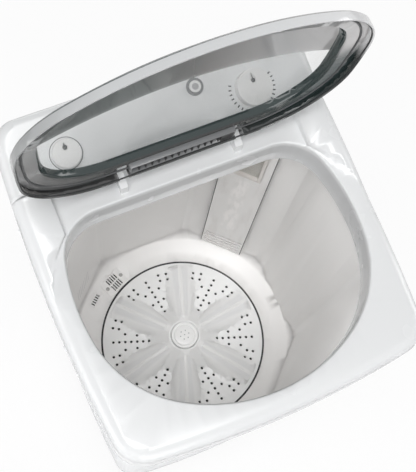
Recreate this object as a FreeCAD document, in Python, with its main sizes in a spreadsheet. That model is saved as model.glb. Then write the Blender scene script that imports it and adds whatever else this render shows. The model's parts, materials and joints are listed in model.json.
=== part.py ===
import FreeCAD, Part
import os
import re
import Sketcher
from math import asin, atan2, cos, degrees, hypot, radians, sin, sqrt, tan
from FreeCAD import Placement, Rotation, Vector

# A top-loading washing machine, in millimetres. X is to the right seen from the front, Y to the rear, Z up.
# The origin is on the floor, under the pulsator's axis.

sizes = {
    # overall, and the bowed plan that deck and cabinet share
    "bodyWidth": 480,
    "bodyDepth": 500,
    "ledgeHeight": 830,
    "sideArc": 2400,
    "frontArc": 1500,
    "frontCorner": 48,
    "rearCorner": 36,
    "widestAt": 40,
    # top deck: skirt, shoulders that rise to the console, mouth and collar
    "deckWall": 3.2,
    "deckFit": 0.6,
    "skirtDepth": 68,
    "deckEdge": 22,
    "seatWidth": 5,
    "shoulderRise": 24,
    "shoulderRun": 170,
    "shoulderBlend": 260,
    "shelfInset": 20,
    "mouthRimSide": 34,
    "mouthRimFront": 32,
    "mouthSideArc": 300,
    "mouthFrontArc": 240,
    "mouthFrontCorner": 165,
    "mouthRearCorner": 66,
    "mouthWidestAt": -20,
    "hingeShelf": 46,
    "collarDepth": 55,
    "lipEdge": 6,
    # console
    "consoleDepth": 100,
    "consoleSeam": 0.4,
    "panelTilt": 23,
    "panelBlend": 60,
    "panelWall": 3,
    "scoopHalf": 90,
    "scoopDepth": 20,
    "browHeight": 2,
    "browRun": 60,
    "browRise": 40,
    # lid
    "lidOverlapSide": 22,
    "lidOverlapFront": 15,
    "lidOverlapRear": 7,
    "lidSideArc": 900,
    "lidFrontArc": 330,
    "lidFrontCorner": 130,
    "lidRearCorner": 125,
    "lidWidestAt": -60,
    "lidGap": 0.5,
    "lidSkirt": 13.4,
    "lidEdge": 4,
    "lidFlange": 28,
    "lidWall": 2.5,
    "domeRise": 13,
    "domeEdge": 12,
    "lidOpening": 85,
    "recessGap": 4,
    # lid hinge
    "hingeHeight": 18,
    "hingeSetback": 25,
    "earSpacing": 174,
    "earThickness": 11,
    "earGap": 2,
    "earTop": 11,
    "earReach": 11,
    "earBack": 16,
    "pinRadius": 3,
    "pinFit": 0.05,
    "lugThickness": 11,
    "lugGap": 0.5,
    "lugRadius": 8,
    # cabinet, drawn in towards its base, and base
    "cabinetWall": 3,
    "rimDrop": 30,
    "frontTaper": 36,
    "sideTaper": 18,
    "baseTop": 40,
    "baseFloor": 3,
    "baseRim": 16,
    "baseUpstand": 12,
    "baseFit": 0.4,
    "ventLength": 150,
    "ventWidth": 10,
    "ventPitch": 36,
    "footHeight": 14,
    "footRadius": 24,
    "footInset": 48,
    # service opening at the rear
    "hatchHalf": 150,
    "hatchBottom": 70,
    "hatchTop": 420,
    "coverLap": 8,
    "coverThickness": 2,
    "louvreLength": 180,
    "louvreWidth": 5,
    "louvrePitch": 16,
    "louvreStart": 250,
    "glandAcross": 105,
    # tub
    "tubGapSide": 15,
    "tubGapEnd": 23,
    "tubGapFront": 14,
    "tubWall": 3,
    "tubCorner": 121,
    "tubDraft": 4,
    "tubFrontDraft": 24,
    "tubRound": 20,
    "foldMargin": 30,
    "foldDepth": 4,
    "flangeThickness": 3,
    "tubFloor": 4,
    "floorRise": 17,
    "floorRun": 52,
    "wellGap": 2.5,
    "wellDepth": 11,
    # water channel in the rear right corner of the tub, with its lint cassette
    "channelWidth": 87,
    "channelDepth": 12,
    "channelWall": 2.4,
    "channelGap": 0.3,
    "channelFoot": 12,
    "channelSlot": 8,
    "channelHead": 6,
    "cassetteWidth": 58,
    "cassetteHeight": 130,
    "cassetteDepth": 14,
    "cassetteRim": 6,
    "cassetteDrop": 30,
    "cassetteFit": 0.6,
    "cassetteRoom": 2,
    "cassetteProud": 4,
    "meshThickness": 1.2,
    # drain in the tub floor, rear left
    "drainGap": 1.5,
    "drainBearing": 117.5,
    "sumpRadius": 16,
    "sumpWall": 3,
    "sumpDepth": 26,
    "grilleWidth": 50,
    "grilleLength": 34,
    "grilleThickness": 2,
    "grilleSlot": 2.6,
    "grilleSlotLength": 13,
    "grillePitch": 5.2,
    "grilleRow": 16,
    "grilleScrewReach": 20,
    "grilleFit": 0.3,
    "overflowBearing": 133.5,
    "overflowStep": 11,
    "overflowLength": 32,
    "overflowWidth": 14,
    "overflowSlotLength": 8,
    "chamberDepth": 14,
    # pulsator
    "pulsatorPlane": 195,
    "pulsatorRadius": 163,
    "pulsatorWall": 4,
    "pulsatorRim": 7,
    "hubRadius": 31,
    "hubHeight": 42,
    "hubFoot": 72,
    "bossRadius": 15,
    "vaneRoot": 10,
    "vaneTip": 46,
    "vaneCrest": 6,
    "vaneBearing": 10,
    "holeRadius": 3,
    "holeRimGap": 22,
    "holeStep": 12,
    "holeSpread": 12.9,
    "capRadius": 26,
    "capCrown": 4,
    # drive under the tub
    "shaftRadius": 7,
    "shaftFit": 0.03,
    "shaftTop": 24,
    "shaftHead": 12,
    "shaftHeadHeight": 3,
    "neckRadius": 17,
    "neckRise": 3,
    "barrelRadius": 30,
    "bracketHeight": 78,
    "bracketThickness": 3,
    "bracketHalf": 86,
    "bracketFront": 70,
    "bracketMargin": 8,
    "pulleyGap": 7,
    "pulleyWidth": 18,
    "pulleyRadius": 95,
    "beltThickness": 4,
    "beltWidth": 12,
    "beltFit": 0.35,
    "nutRadius": 12,
    "nutHeight": 8,
    "motorAcross": 75,
    "motorBehind": 130,
    "motorRadius": 58,
    "motorHeight": 90,
    "motorShaftRadius": 5,
    "motorPulleyRadius": 30,
    "motorPassage": 22,
    "capacitorRadius": 19,
    "capacitorHeight": 72,
    "capacitorAcross": 62,
    "capacitorAhead": 32,
    # drain run under the tub
    "valveHalf": 20,
    "valveBore": 10,
    "spigotRadius": 16,
    "cupHalf": 34,
    "cupWall": 3,
    "cupDepth": 40,
    "spigotBack": 3,
    "outletHeight": 116,
    "glandRadius": 10,
    "glandDepth": 4,
    "glandBore": 4,
    # knobs and switches on the console
    "timerAcross": 135,
    "timerSetback": 32,
    "timerRadius": 26,
    "timerHeight": 17,
    "selectorAcross": 145,
    "selectorSetback": 32,
    "selectorRadius": 20,
    "selectorHeight": 15,
    "knobGap": 0.6,
    "knobMargin": 5,
    "pointerWidth": 7,
    "pointerDepth": 1.5,
    "spindleRadius": 3,
    "spindleRoom": 1,
    "timerLength": 50,
    "timerBreadth": 36,
    "timerDepth": 20,
    "switchLength": 36,
    "switchDepth": 18,
    "switchOffset": 8,
    "buttonAcross": 56,
    "buttonSetback": 58,
    "buttonRadius": 8.5,
    "buttonProud": 4.5,
    "buttonFit": 0.08,
    "buttonDepth": 8,
    "bezelRadius": 12.5,
    "bezelProud": 2.2,
    "buttonTravel": 3.5,
    # small screws, heads only
    "screwRadius": 4,
    "screwHeight": 1.8,
    "deckScrewReach": 90,
}

doc = FreeCAD.newDocument("WashingMachine")
sheet = doc.addObject("Spreadsheet::Sheet", "Sizes")
for row, (name, value) in enumerate(sizes.items(), start=1):
    sheet.set(f"A{row}", name)
    sheet.set(f"B{row}", str(value))
    sheet.setAlias(f"B{row}", name)
doc.recompute()

pieces = []
up = Vector(0, 0, 1)


# Formulas over the sheet's sizes

def bound(formula):
    return re.sub(r"[A-Za-z]\w*", lambda word: "Sizes." + word.group(), formula)


def val(formula):
    return float(sheet.evalExpression(bound(formula)))


deckHalf = "(bodyWidth / 2)"
deckFront = "(0 - bodyDepth / 2)"
deckRear = "(bodyDepth / 2)"
cabinetInset = "(deckWall + deckFit)"
cabinetRear = f"({deckRear} - {cabinetInset})"
cabinetTop = "(ledgeHeight - rimDrop)"
flangeTop = f"({cabinetTop} + flangeThickness)"
seam = f"({deckRear} - consoleDepth)"
seamHeight = "(ledgeHeight + shoulderRise)"
mouthHalf = f"({deckHalf} - mouthRimSide)"
mouthRear = f"({seam} - hingeShelf)"
shelfHalf = f"({mouthHalf} - shelfInset)"
lidRear = f"({mouthRear} + lidOverlapRear)"
hingeY = f"({lidRear} + hingeSetback)"
hingeZ = "(ledgeHeight + hingeHeight)"
earFront = f"({lidRear} + earGap)"
earInner = "(earSpacing / 2 - earThickness / 2)"
earOuter = "(earSpacing / 2 + earThickness / 2)"
tubHalf = f"({deckHalf} - {cabinetInset} - cabinetWall - tubGapSide - tubWall)"
tubEnd = f"({cabinetRear} - cabinetWall - tubGapEnd - tubWall)"
tubAhead = f"({cabinetRear} - cabinetWall - tubGapFront - tubWall)"
wellRadius = "(pulsatorRadius + wellGap)"
wellFloor = "(pulsatorPlane - wellDepth)"
tubUnder = f"({wellFloor} - tubFloor)"
drainReach = f"({wellRadius} + drainGap + grilleLength / 2)"
overflowReach = f"({drainReach} + overflowStep)"
shaftShoulder = "(pulsatorPlane + shaftTop)"
pulleyTop = "(bracketHeight - bracketThickness - pulleyGap)"
pulleyFoot = f"({pulleyTop} - pulleyWidth)"
beltMiddle = f"({pulleyTop} - pulleyWidth / 2)"
cupFloor = f"({cabinetRear} - cupDepth)"


# Drawing helpers

def keep(piece, label):
    piece.Label = label
    pieces.append(piece)
    return piece


def new_body(label):
    return keep(doc.addObject("PartDesign::Body", "Body_" + label), label)


def new_sketch(body, role, offset="0"):
    sketch = body.newObject("Sketcher::SketchObject", "Sketch")
    base = next(plane for plane in body.Origin.OriginFeatures if plane.Role == role)
    sketch.AttachmentSupport = [(base, "")]
    sketch.MapMode = "FlatFace"
    sketch.setExpression("AttachmentOffset.Base.z", bound(offset))
    return sketch


def pin(sketch, geometry, point, x, y):
    for kind, formula in (("DistanceX", x), ("DistanceY", y)):
        number = sketch.addConstraint(Sketcher.Constraint(kind, geometry, point, val(formula)))
        sketch.setExpression(f"Constraints[{number}]", bound(formula))


def draw_outline(sketch, corners):
    first = sketch.GeometryCount
    count = len(corners)
    spots = [Vector(val(x), val(y), 0) for x, y in corners]
    for index in range(count):
        sketch.addGeometry(Part.LineSegment(spots[index], spots[(index + 1) % count]))
    for index in range(count):
        following = first + (index + 1) % count
        sketch.addConstraint(Sketcher.Constraint("Coincident", first + index, 2, following, 1))
    for index, (x, y) in enumerate(corners):
        pin(sketch, first + index, 1, x, y)


def draw_circle(sketch, x, y, radius):
    circle = sketch.addGeometry(Part.Circle(Vector(val(x), val(y), 0), up, val(radius)))
    number = sketch.addConstraint(Sketcher.Constraint("Radius", circle, val(radius)))
    sketch.setExpression(f"Constraints[{number}]", bound(radius))
    pin(sketch, circle, 3, x, y)


def rectangle(half_x, half_y, x="0", y="0"):
    return [(f"{x} - {half_x}", f"{y} - {half_y}"), (f"{x} + {half_x}", f"{y} - {half_y}"),
            (f"{x} + {half_x}", f"{y} + {half_y}"), (f"{x} - {half_x}", f"{y} + {half_y}")]


# A piece turned about its own Z axis, from a profile of radius and height
def turned(label, corners):
    body = new_body(label)
    sketch = new_sketch(body, "XZ_Plane")
    draw_outline(sketch, corners)
    turn = body.newObject("PartDesign::Revolution", "Turn")
    turn.Profile = sketch
    turn.ReferenceAxis = (sketch, ["V_Axis"])
    turn.Angle = 360
    return body


# A piece of one thickness, from its outline and round holes
def padded(label, corners, bottom, thickness, holes=()):
    body = new_body(label)
    sketch = new_sketch(body, "XY_Plane", bottom)
    draw_outline(sketch, corners)
    for x, y, radius in holes:
        draw_circle(sketch, x, y, radius)
    pad = body.newObject("PartDesign::Pad", "Pad")
    pad.Profile = sketch
    pad.setExpression("Length", bound(thickness))
    return body


# A cut that starts at a height and goes down
def pocket(body, top, depth, corners=None, circle=None):
    sketch = new_sketch(body, "XY_Plane", top)
    if corners:
        draw_outline(sketch, corners)
    if circle:
        draw_circle(sketch, *circle)
    cut = body.newObject("PartDesign::Pocket", "Pocket")
    cut.Profile = sketch
    cut.setExpression("Length", bound(depth))
    return cut


def repeat_round(body, feature, count):
    pattern = body.newObject("PartDesign::PolarPattern", "Round")
    pattern.Originals = [feature]
    pattern.Axis = (feature.Profile[0], ["N_Axis"])
    pattern.Angle = 360
    pattern.Occurrences = count
    body.Tip = pattern
    return pattern


def repeat_along(body, feature, axis, length, count):
    pattern = body.newObject("PartDesign::LinearPattern", "Row")
    pattern.Originals = [feature]
    pattern.Direction = (feature.Profile[0], [axis])
    pattern.setExpression("Length", bound(length))
    pattern.Occurrences = count
    body.Tip = pattern
    return pattern


def place(piece, x, y, z, turn=None):
    if turn:
        piece.Placement = Placement(Vector(), turn)
    for axis, formula in (("x", x), ("y", y), ("z", z)):
        piece.setExpression(f"Placement.Base.{axis}", bound(formula))
    return piece


def moulded(label, shape, placement=None):
    piece = keep(doc.addObject("Part::Feature", "Moulding_" + label), label)
    piece.Shape = shape
    if placement:
        piece.Placement = placement
    return piece


# Solids for mouldings

def block(x0, x1, y0, y1, z0, z1):
    return Part.makeBox(x1 - x0, y1 - y0, z1 - z0, Vector(x0, y0, z0))


def rod(radius, bottom, top, x=0, y=0):
    return Part.makeCylinder(radius, top - bottom, Vector(x, y, bottom))


def revolved(profile):
    points = [Vector(radius, 0, height) for radius, height in profile]
    face = Part.Face(Part.makePolygon(points + points[:1]))
    return face.revolve(Vector(), up, 360)


# Straight runs joined by tangent arcs, one radius for each inner point
def rounded_run(points, radii):
    edges = []
    start = points[0]
    for before, corner, after, radius in zip(points, points[1:], points[2:], radii):
        back = (before - corner).normalize()
        ahead = (after - corner).normalize()
        half_angle = back.getAngle(ahead) / 2
        reach = radius / tan(half_angle)
        inward = (back + ahead).normalize()
        middle = corner + inward * (radius / sin(half_angle) - radius)
        edges.append(Part.LineSegment(start, corner + back * reach).toShape())
        edges.append(Part.Arc(corner + back * reach, middle, corner + ahead * reach).toShape())
        start = corner + ahead * reach
    edges.append(Part.LineSegment(start, points[-1]).toShape())
    return edges


def toward(centre, target, radius):
    return centre + (target - centre).normalize() * radius


def arc_about(centre, start, end, radius):
    middle = toward(centre, centre + (start - centre).normalize() + (end - centre).normalize(), radius)
    return Part.Arc(start, middle, end).toShape()


# The point towards the front right that two circles share
def shared_point(centre, radius, other, other_radius):
    apart = other - centre
    gap = apart.Length
    along = (radius ** 2 - other_radius ** 2 + gap ** 2) / (2 * gap)
    off = sqrt(radius ** 2 - along ** 2)
    foot = centre + apart * (along / gap)
    aside = Vector(apart.y, -apart.x, 0) * (off / gap)
    return max(foot + aside, foot - aside, key=lambda spot: spot.x - spot.y)


def mirrored(point):
    return Vector(-point.x, point.y, point.z)


# A plan with bowed front and sides, a straight rear and rounded corners
def plan_wire(plan, grow, z):
    half = plan["half"] + grow
    front = plan["front"] - grow
    rear = plan["rear"] + grow
    side_arc = plan["side_arc"] + grow
    front_arc = plan["front_arc"] + grow
    front_corner = plan["front_corner"] + grow
    rear_corner = plan["rear_corner"] + grow
    side = Vector(half - side_arc, plan["widest"], z)
    nose = Vector(0, front + front_arc, z)
    corner = shared_point(side, side_arc - front_corner, nose, front_arc - front_corner)
    heel_y = rear - rear_corner
    heel = Vector(side.x + sqrt((side_arc - rear_corner) ** 2 - (heel_y - side.y) ** 2), heel_y, z)
    front_end = toward(nose, corner, front_arc)
    side_front = toward(side, corner, side_arc)
    side_rear = toward(side, heel, side_arc)
    rear_end = Vector(heel.x, rear, z)
    edges = [arc_about(nose, mirrored(front_end), front_end, front_arc),
             arc_about(corner, front_end, side_front, front_corner),
             arc_about(side, side_front, side_rear, side_arc),
             arc_about(heel, side_rear, rear_end, rear_corner),
             Part.LineSegment(rear_end, mirrored(rear_end)).toShape(),
             arc_about(mirrored(heel), mirrored(rear_end), mirrored(side_rear), rear_corner),
             arc_about(mirrored(side), mirrored(side_rear), mirrored(side_front), side_arc),
             arc_about(mirrored(corner), mirrored(side_front), mirrored(front_end), front_corner)]
    return Part.Wire(edges)


def prism(plan, grow, bottom, top):
    return Part.Face(plan_wire(plan, grow, bottom)).extrude(up * (top - bottom))


def edges_on(shape, wire, low, high, reach=0.01):
    chosen = []
    for edge in shape.Edges:
        middle = edge.valueAt((edge.FirstParameter + edge.LastParameter) / 2)
        flat = Part.Vertex(Vector(middle.x, middle.y, wire.BoundBox.ZMin))
        on_wire = wire.distToShape(flat)[0] < reach
        upright = abs(edge.tangentAt(edge.FirstParameter).z) > 0.99
        if on_wire and not upright and low < middle.z < high:
            chosen.append(edge)
    return chosen


deckPlan = dict(half=val(deckHalf), front=val(deckFront), rear=val(deckRear), widest=val("widestAt"),
                side_arc=val("sideArc"), front_arc=val("frontArc"),
                front_corner=val("frontCorner"), rear_corner=val("rearCorner"))
mouthPlan = dict(half=val(mouthHalf), front=val(f"{deckFront} + mouthRimFront"),
                 rear=val(mouthRear), widest=val("mouthWidestAt"),
                 side_arc=val("mouthSideArc"), front_arc=val("mouthFrontArc"),
                 front_corner=val("mouthFrontCorner"), rear_corner=val("mouthRearCorner"))
lidPlan = dict(half=mouthPlan["half"] + val("lidOverlapSide"),
               front=mouthPlan["front"] - val("lidOverlapFront"),
               rear=val(lidRear), widest=val("lidWidestAt"),
               side_arc=val("lidSideArc"), front_arc=val("lidFrontArc"),
               front_corner=val("lidFrontCorner"), rear_corner=val("lidRearCorner"))

ledge = val("ledgeHeight")
skirtFoot = val("ledgeHeight - skirtDepth")
panelSlope = tan(radians(val("panelTilt")))
highest = val(seamHeight) + panelSlope * val("consoleDepth") + val("deckEdge")
halfWidth = deckPlan["half"]

# A round edge cut as one flat: how far in and how far down it starts and ends, as shares of the radius
oneFlat = ((0, 0.586), (0.586, 0))


# Faces nearer than this count as one where the recess meets the ledge
coincident = 0.001


# A prism whose top edge is cut back by that flat
def rounded_prism(plan, grow, bottom, top, radius):
    wires = [plan_wire(plan, grow, bottom)]
    wires += [plan_wire(plan, grow - into * radius, top - down * radius) for into, down in oneFlat]
    return Part.makeLoft(wires, True, True)


# Three flats around an edge that rises and falls
def softened(shape, edges, radius):
    once = shape.makeChamfer(radius * (2 - sqrt(2)), edges)
    borders = []
    for edge in once.Edges:
        leaning = [is_leaning(face) for face in once.ancestorsOfType(edge, Part.Face)]
        if any(leaning) and not all(leaning):
            borders.append(edge)
    return once.makeChamfer(radius * 0.215, borders)


def is_leaning(face):
    start, end, low, high = face.ParameterRange
    return 0.5 < abs(face.normalAt((start + end) / 2, (low + high) / 2).z) < 0.88


def at_each(solid, placements):
    copies = []
    for placement in placements:
        one = solid.copy()
        one.Placement = placement
        copies.append(one)
    return copies


# Screw heads stand on the surface, eight-sided
def screw_heads(placements):
    corners = [Rotation(up, 45 * count).multVec(Vector(val("screwRadius"), 0, 0)) for count in range(9)]
    head = Part.Face(Part.makePolygon(corners)).extrude(up * val("screwHeight"))
    return Part.makeCompound(at_each(head, placements))


def side_face(y):
    arc = deckPlan["side_arc"]
    return halfWidth - arc + sqrt(arc ** 2 - (y - deckPlan["widest"]) ** 2)


def cover_screw_places():
    across = val("hatchHalf")
    facing_rear = Rotation(Vector(1, 0, 0), -90)
    face = val(f"{cabinetRear} + coverThickness")
    heights = [val("hatchBottom"), val("(hatchBottom + hatchTop) / 2"), val("hatchTop")]
    return [Placement(Vector(side * across, face, height), facing_rear)
            for side in (-1, 1) for height in heights]


def deck_screw_places():
    height = (skirtFoot + val(cabinetTop)) / 2
    reach = val("deckScrewReach")
    turn = degrees(atan2(reach, deckPlan["side_arc"]))
    places = []
    for side in (-1, 1):
        for ahead in (-1, 1):
            y = deckPlan["widest"] + ahead * reach
            outward = Rotation(up, side * ahead * turn) * Rotation(Vector(0, 1, 0), 90 * side)
            places.append(Placement(Vector(side * side_face(y), y, height), outward))
    return places


# The outside that deck and console share: level ledge, rising shoulders, tilted panel
def top_form(inset, drop):
    run_out = val("deckEdge") * 2
    front = deckPlan["front"] - run_out
    rear = deckPlan["rear"] + run_out
    level = ledge - drop
    seam_z = val(seamHeight) - drop
    side = -halfWidth - run_out
    ridge = [Vector(side, front, level), Vector(side, val(f"{seam} - shoulderRun"), level),
             Vector(side, val(seam), seam_z),
             Vector(side, rear, seam_z + panelSlope * (rear - val(seam)))]
    edges = rounded_run(ridge, [val("shoulderBlend"), val("panelBlend")])
    ceiling = [ridge[-1], Vector(side, rear, highest + run_out), Vector(side, front, highest + run_out),
               ridge[0]]
    edges += Part.makePolygon(ceiling).Edges
    above = Part.Face(Part.Wire(edges)).extrude(Vector(2 * (halfWidth + run_out), 0, 0))
    form = prism(deckPlan, -inset, skirtFoot, highest + run_out / 2).cut(above)
    rim = edges_on(form, plan_wire(deckPlan, -inset, 0), level - 1, highest + run_out)
    return form, rim


def outer_form():
    return softened(*top_form(0, 0), val("deckEdge"))


def inner_form(inset, drop):
    form, rim = top_form(inset, drop)
    return form.makeChamfer(val("deckEdge") / 2, rim)


def behind_seam(set_back, floor):
    far = highest * 2
    return block(-far, far, val(seam) + set_back, far, floor, far)


def lid_recess(grow, floor):
    shelf_half = val(shelfHalf) + grow
    shelf = block(-shelf_half, shelf_half, 0, val(seam) + grow + val("deckWall"), floor, highest * 2)
    return prism(lidPlan, val("recessGap") + grow, floor, highest * 2).fuse(shelf)


# The mouth's cutter flares at the top, which rounds the lip
def mouth_cutter():
    radius = val("lipEdge")
    wires = [plan_wire(mouthPlan, 0, skirtFoot - 1)]
    wires += [plan_wire(mouthPlan, into * radius, ledge - down * radius) for into, down in oneFlat]
    flare = Part.makeLoft(wires, True, True)
    return flare.fuse(prism(mouthPlan, val("lipEdge") * oneFlat[-1][0], ledge, highest))


def make_top_deck():
    wall = val("deckWall")
    seat = wall + val("seatWidth")
    outside = outer_form().cut(behind_seam(0, ledge)).cut([lid_recess(0, ledge)], coincident)
    hollow = inner_form(seat, wall).cut(behind_seam(-wall, ledge - wall)).cut(lid_recess(wall, ledge - wall))
    skirt_hollow = prism(deckPlan, -wall, skirtFoot, val(flangeTop))
    collar = prism(mouthPlan, wall, val("ledgeHeight - collarDepth"), ledge)
    deck = outside.cut(hollow).cut(skirt_hollow).fuse(collar).cut(mouth_cutter())
    moulded("top_deck", deck.removeSplitter())


# A round bite out of the console's front, with a brow that slopes back from it
def scoop(grow):
    half = val("scoopHalf")
    depth = val("scoopDepth")
    radius = (half ** 2 + depth ** 2) / (2 * depth) + grow
    centre = Vector(0, val(seam) + depth - radius + grow, ledge - 1)
    bite = Part.makeCylinder(radius, highest, centre)
    foot = Vector(0, centre.y, val(seamHeight + " + browHeight") - grow)
    brow = Part.makeCone(radius, radius + val("browRun"), val("browRise"), foot)
    return bite.fuse(brow)


def make_control_panel():
    wall = val("panelWall")
    gap = val("consoleSeam")
    outside = outer_form().common(behind_seam(gap, ledge + gap)).cut(scoop(0))
    drop = wall / cos(radians(val("panelTilt")))
    hollow = inner_form(wall, drop).common(behind_seam(gap + wall, ledge - wall)).cut(scoop(wall))
    holes = [on_panel(rod(val(radius), -wall * 3, wall * 3), across, setback)
             for across, setback, radius in panelHoles]
    moulded("control_panel", outside.cut(hollow).cut(holes).removeSplitter())


# A placement whose Z axis stands square on the panel
def panel_frame(across, setback):
    height = val(seamHeight) + panelSlope * val(setback)
    tilt = Rotation(Vector(1, 0, 0), val("panelTilt"))
    return Placement(Vector(val(across), val(seam) + val(setback), height), tilt)


def on_panel(shape, across, setback):
    placed = shape.copy()
    placed.Placement = panel_frame(across, setback)
    return placed


timerSpot = ("timerAcross", "timerSetback")
selectorSpot = ("0 - selectorAcross", "selectorSetback")
buttonSpot = ("buttonAcross", "buttonSetback")
spindleHole = "spindleRadius + spindleRoom"
panelHoles = [(*timerSpot, spindleHole), (*selectorSpot, spindleHole), (*buttonSpot, "buttonRadius + buttonFit")]


# Lid, modelled shut and then swung open about its hinge

def lid_levels():
    rim_foot = val("ledgeHeight + lidGap")
    return rim_foot, rim_foot + val("lidSkirt"), rim_foot + val("lidSkirt + domeRise")


def lid_solid():
    rim_foot, flange, crown = lid_levels()
    brim = rounded_prism(lidPlan, 0, rim_foot, flange, val("lidEdge"))
    return brim.fuse(rounded_prism(lidPlan, -val("lidFlange"), rim_foot, crown, val("domeEdge")))


def lid_hollow():
    wall = val("lidWall")
    rim_foot, flange, crown = lid_levels()
    brim = prism(lidPlan, -wall, rim_foot, flange - wall)
    dome = rounded_prism(lidPlan, -val("lidFlange") - wall, rim_foot, crown - wall, val("domeEdge") - wall)
    return brim.fuse(dome)


def lid_open():
    axis = Vector(0, val(hingeY), val(hingeZ))
    return Placement(Vector(), Rotation(Vector(1, 0, 0), -val("lidOpening")), axis)


def lug(side):
    inner = val(f"{earOuter} + lugGap")
    thickness = val("lugThickness")
    left = inner if side > 0 else -inner - thickness
    y, z = val(hingeY), val(hingeZ)
    radius = val("lugRadius")
    arm = block(left, left + thickness, val(lidRear) - val("lidWall") / 2, y + radius,
                z - radius, z + radius)
    return arm.cut(Part.makeCylinder(val("pinRadius"), thickness, Vector(left, y, z), Vector(1, 0, 0)))


def make_lid():
    shell = lid_solid().cut(lid_hollow()).fuse([lug(1), lug(-1)]).removeSplitter()
    moulded("lid_shell", shell, lid_open())


def make_hinge_pins():
    length = val("earThickness + lugGap + lugThickness")
    pins = []
    for side in (-1, 1):
        start = val(earInner) if side > 0 else -val(earInner) - length
        pins.append(Part.makeCylinder(val("pinRadius"), length, Vector(start, val(hingeY), val(hingeZ)),
                                      Vector(1, 0, 0)))
    moulded("lid_hinge_pins", Part.makeCompound(pins))


# Hinge ears: fins on the shelf, drawn in side view and padded across
def make_hinge_ear(label, inner):
    sideways = Rotation(Vector(1, 1, 1), 120)
    rear = f"({hingeY} + earReach)"
    corners = [(earFront, "ledgeHeight"), (rear, "ledgeHeight"), (rear, f"{hingeZ} + earBack"),
               (f"{hingeY} + earReach * 0.6", f"{hingeZ} + earBack"),
               (f"{hingeY} - earTop * 0.5", f"{hingeZ} + earTop * 0.8"), (earFront, f"{hingeZ} + earTop * 0.1")]
    ear = padded(label, corners, "0", "earThickness", [(hingeY, hingeZ, "pinRadius + pinFit")])
    place(ear, inner, "0", "0", sideways)


# Cabinet, base and rear cover

# The deck's plan at a height of the cabinet, drawn in at the front and the sides
def body_plan(z):
    sink = (val(cabinetTop) - z) / val(f"{cabinetTop} - footHeight")
    return dict(deckPlan, half=deckPlan["half"] - val("sideTaper") * sink,
                front=deckPlan["front"] + val("frontTaper") * sink)


def body_loft(grow, bottom, top):
    wires = [plan_wire(body_plan(z), grow - val(cabinetInset), z) for z in (bottom, top)]
    return Part.makeLoft(wires, True, True)


def make_cabinet():
    bottom, top = val("baseTop"), val(cabinetTop)
    shell = body_loft(0, bottom, top).cut(body_loft(-val("cabinetWall"), bottom - 1, top + 1))
    hatch_half = val("hatchHalf - coverLap")
    hatch = block(-hatch_half, hatch_half, 0, deckPlan["rear"], val("hatchBottom + coverLap"),
                  val("hatchTop - coverLap"))
    moulded("cabinet_shell", shell.cut(hatch))


def make_base():
    bottom, top = val("footHeight"), val("baseTop")
    floor = bottom + val("baseFloor")
    base = body_loft(0, bottom, top).cut(body_loft(-val("baseRim"), floor, top + 1))
    lip_out = -val("cabinetWall + baseFit")
    lip_top = top + val("baseUpstand")
    lip = body_loft(lip_out, top - 1, lip_top).cut(body_loft(lip_out - val("cabinetWall"), top - 2, lip_top + 1))
    half_length = val("ventLength") / 2
    half_width = val("ventWidth") / 2
    vents = []
    for count in range(-2, 3):
        middle = count * val("ventPitch")
        vents.append(block(-half_length, half_length, middle - half_width, middle + half_width,
                           bottom - 1, floor + 1))
    moulded("base_frame", base.fuse(lip).cut(vents).removeSplitter())


def foot_spots():
    plan = body_plan(val("footHeight"))
    inset = val(f"{cabinetInset} + footInset")
    return [Vector(side * (plan["half"] - inset), y, 0)
            for side in (-1, 1) for y in (plan["front"] + inset, plan["rear"] - inset)]


def make_feet():
    radius, height = val("footRadius"), val("footHeight")
    moulded("base_feet", Part.makeCompound([rod(radius, 0, height, spot.x, spot.y) for spot in foot_spots()]))


def make_rear_cover():
    half = "(hatchHalf + coverLap)"
    corners = [(f"0 - {half}", "hatchBottom - coverLap"), (half, "hatchBottom - coverLap"),
               (half, "hatchTop + coverLap"), (f"0 - {half}", "hatchTop + coverLap")]
    cover = padded("rear_cover", corners, "0", "coverThickness", [("glandAcross", "outletHeight", "glandRadius")])
    pocket(cover, "coverThickness", "coverThickness",
           rectangle("(cupHalf - cupWall)", "(cupHalf - cupWall)", x=drainX, y="outletHeight"))
    slot = pocket(cover, "coverThickness", "coverThickness",
                  rectangle("louvreLength / 2", "louvreWidth / 2", y="louvreStart"))
    repeat_along(cover, slot, "V_Axis", "louvrePitch * 7", 8)
    place(cover, "0", f"{cabinetRear} + coverThickness", "0", Rotation(Vector(1, 0, 0), 90))


def make_body_screws():
    moulded("rear_cover_screws", screw_heads(cover_screw_places()))
    moulded("deck_screws", screw_heads(deck_screw_places()))


# Tub: eight-sided, folded side walls, dished floor with the pulsator's well

def tub_ring(grow, front_draft, z):
    half = val(tubHalf) + grow
    end = val(tubEnd) + grow
    ahead = val(tubAhead) + grow - front_draft
    corner = val("tubCorner") + (2 - sqrt(2)) * grow
    turn = val("tubRound") * tan(radians(22.5))
    fold = val(f"{tubEnd} - tubCorner - tubDraft - foldMargin")
    fold_mid = (end - ahead) / 2
    depth = val("foldDepth")
    run = turn / sqrt(2)
    right = [Vector(half - run, corner - ahead - run, z), Vector(half, corner - ahead + turn, z)]
    for count in range(7):
        right.append(Vector(half - depth * (count % 2), fold_mid + fold * (count / 3 - 1), z))
    right += [Vector(half, end - corner - turn, z), Vector(half - run, end - corner + run, z)]
    rear = [Vector(half - corner + run, end - run, z), Vector(half - corner - turn, end, z)]
    front = [Vector(half - corner - turn, -ahead, z), Vector(half - corner + run, run - ahead, z)]
    side = front + right + rear
    return side + [mirrored(point) for point in reversed(side)]


def tub_prism(grow, bottom, top):
    rings = [tub_ring(grow - val("tubDraft"), val("tubFrontDraft"), bottom), tub_ring(grow, 0, top)]
    return Part.makeLoft([Part.makePolygon(ring + ring[:1]) for ring in rings], True, True)


floorSlope = val("floorRise / floorRun")
floorTilt = degrees(atan2(val("floorRise"), val("floorRun")))


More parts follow.
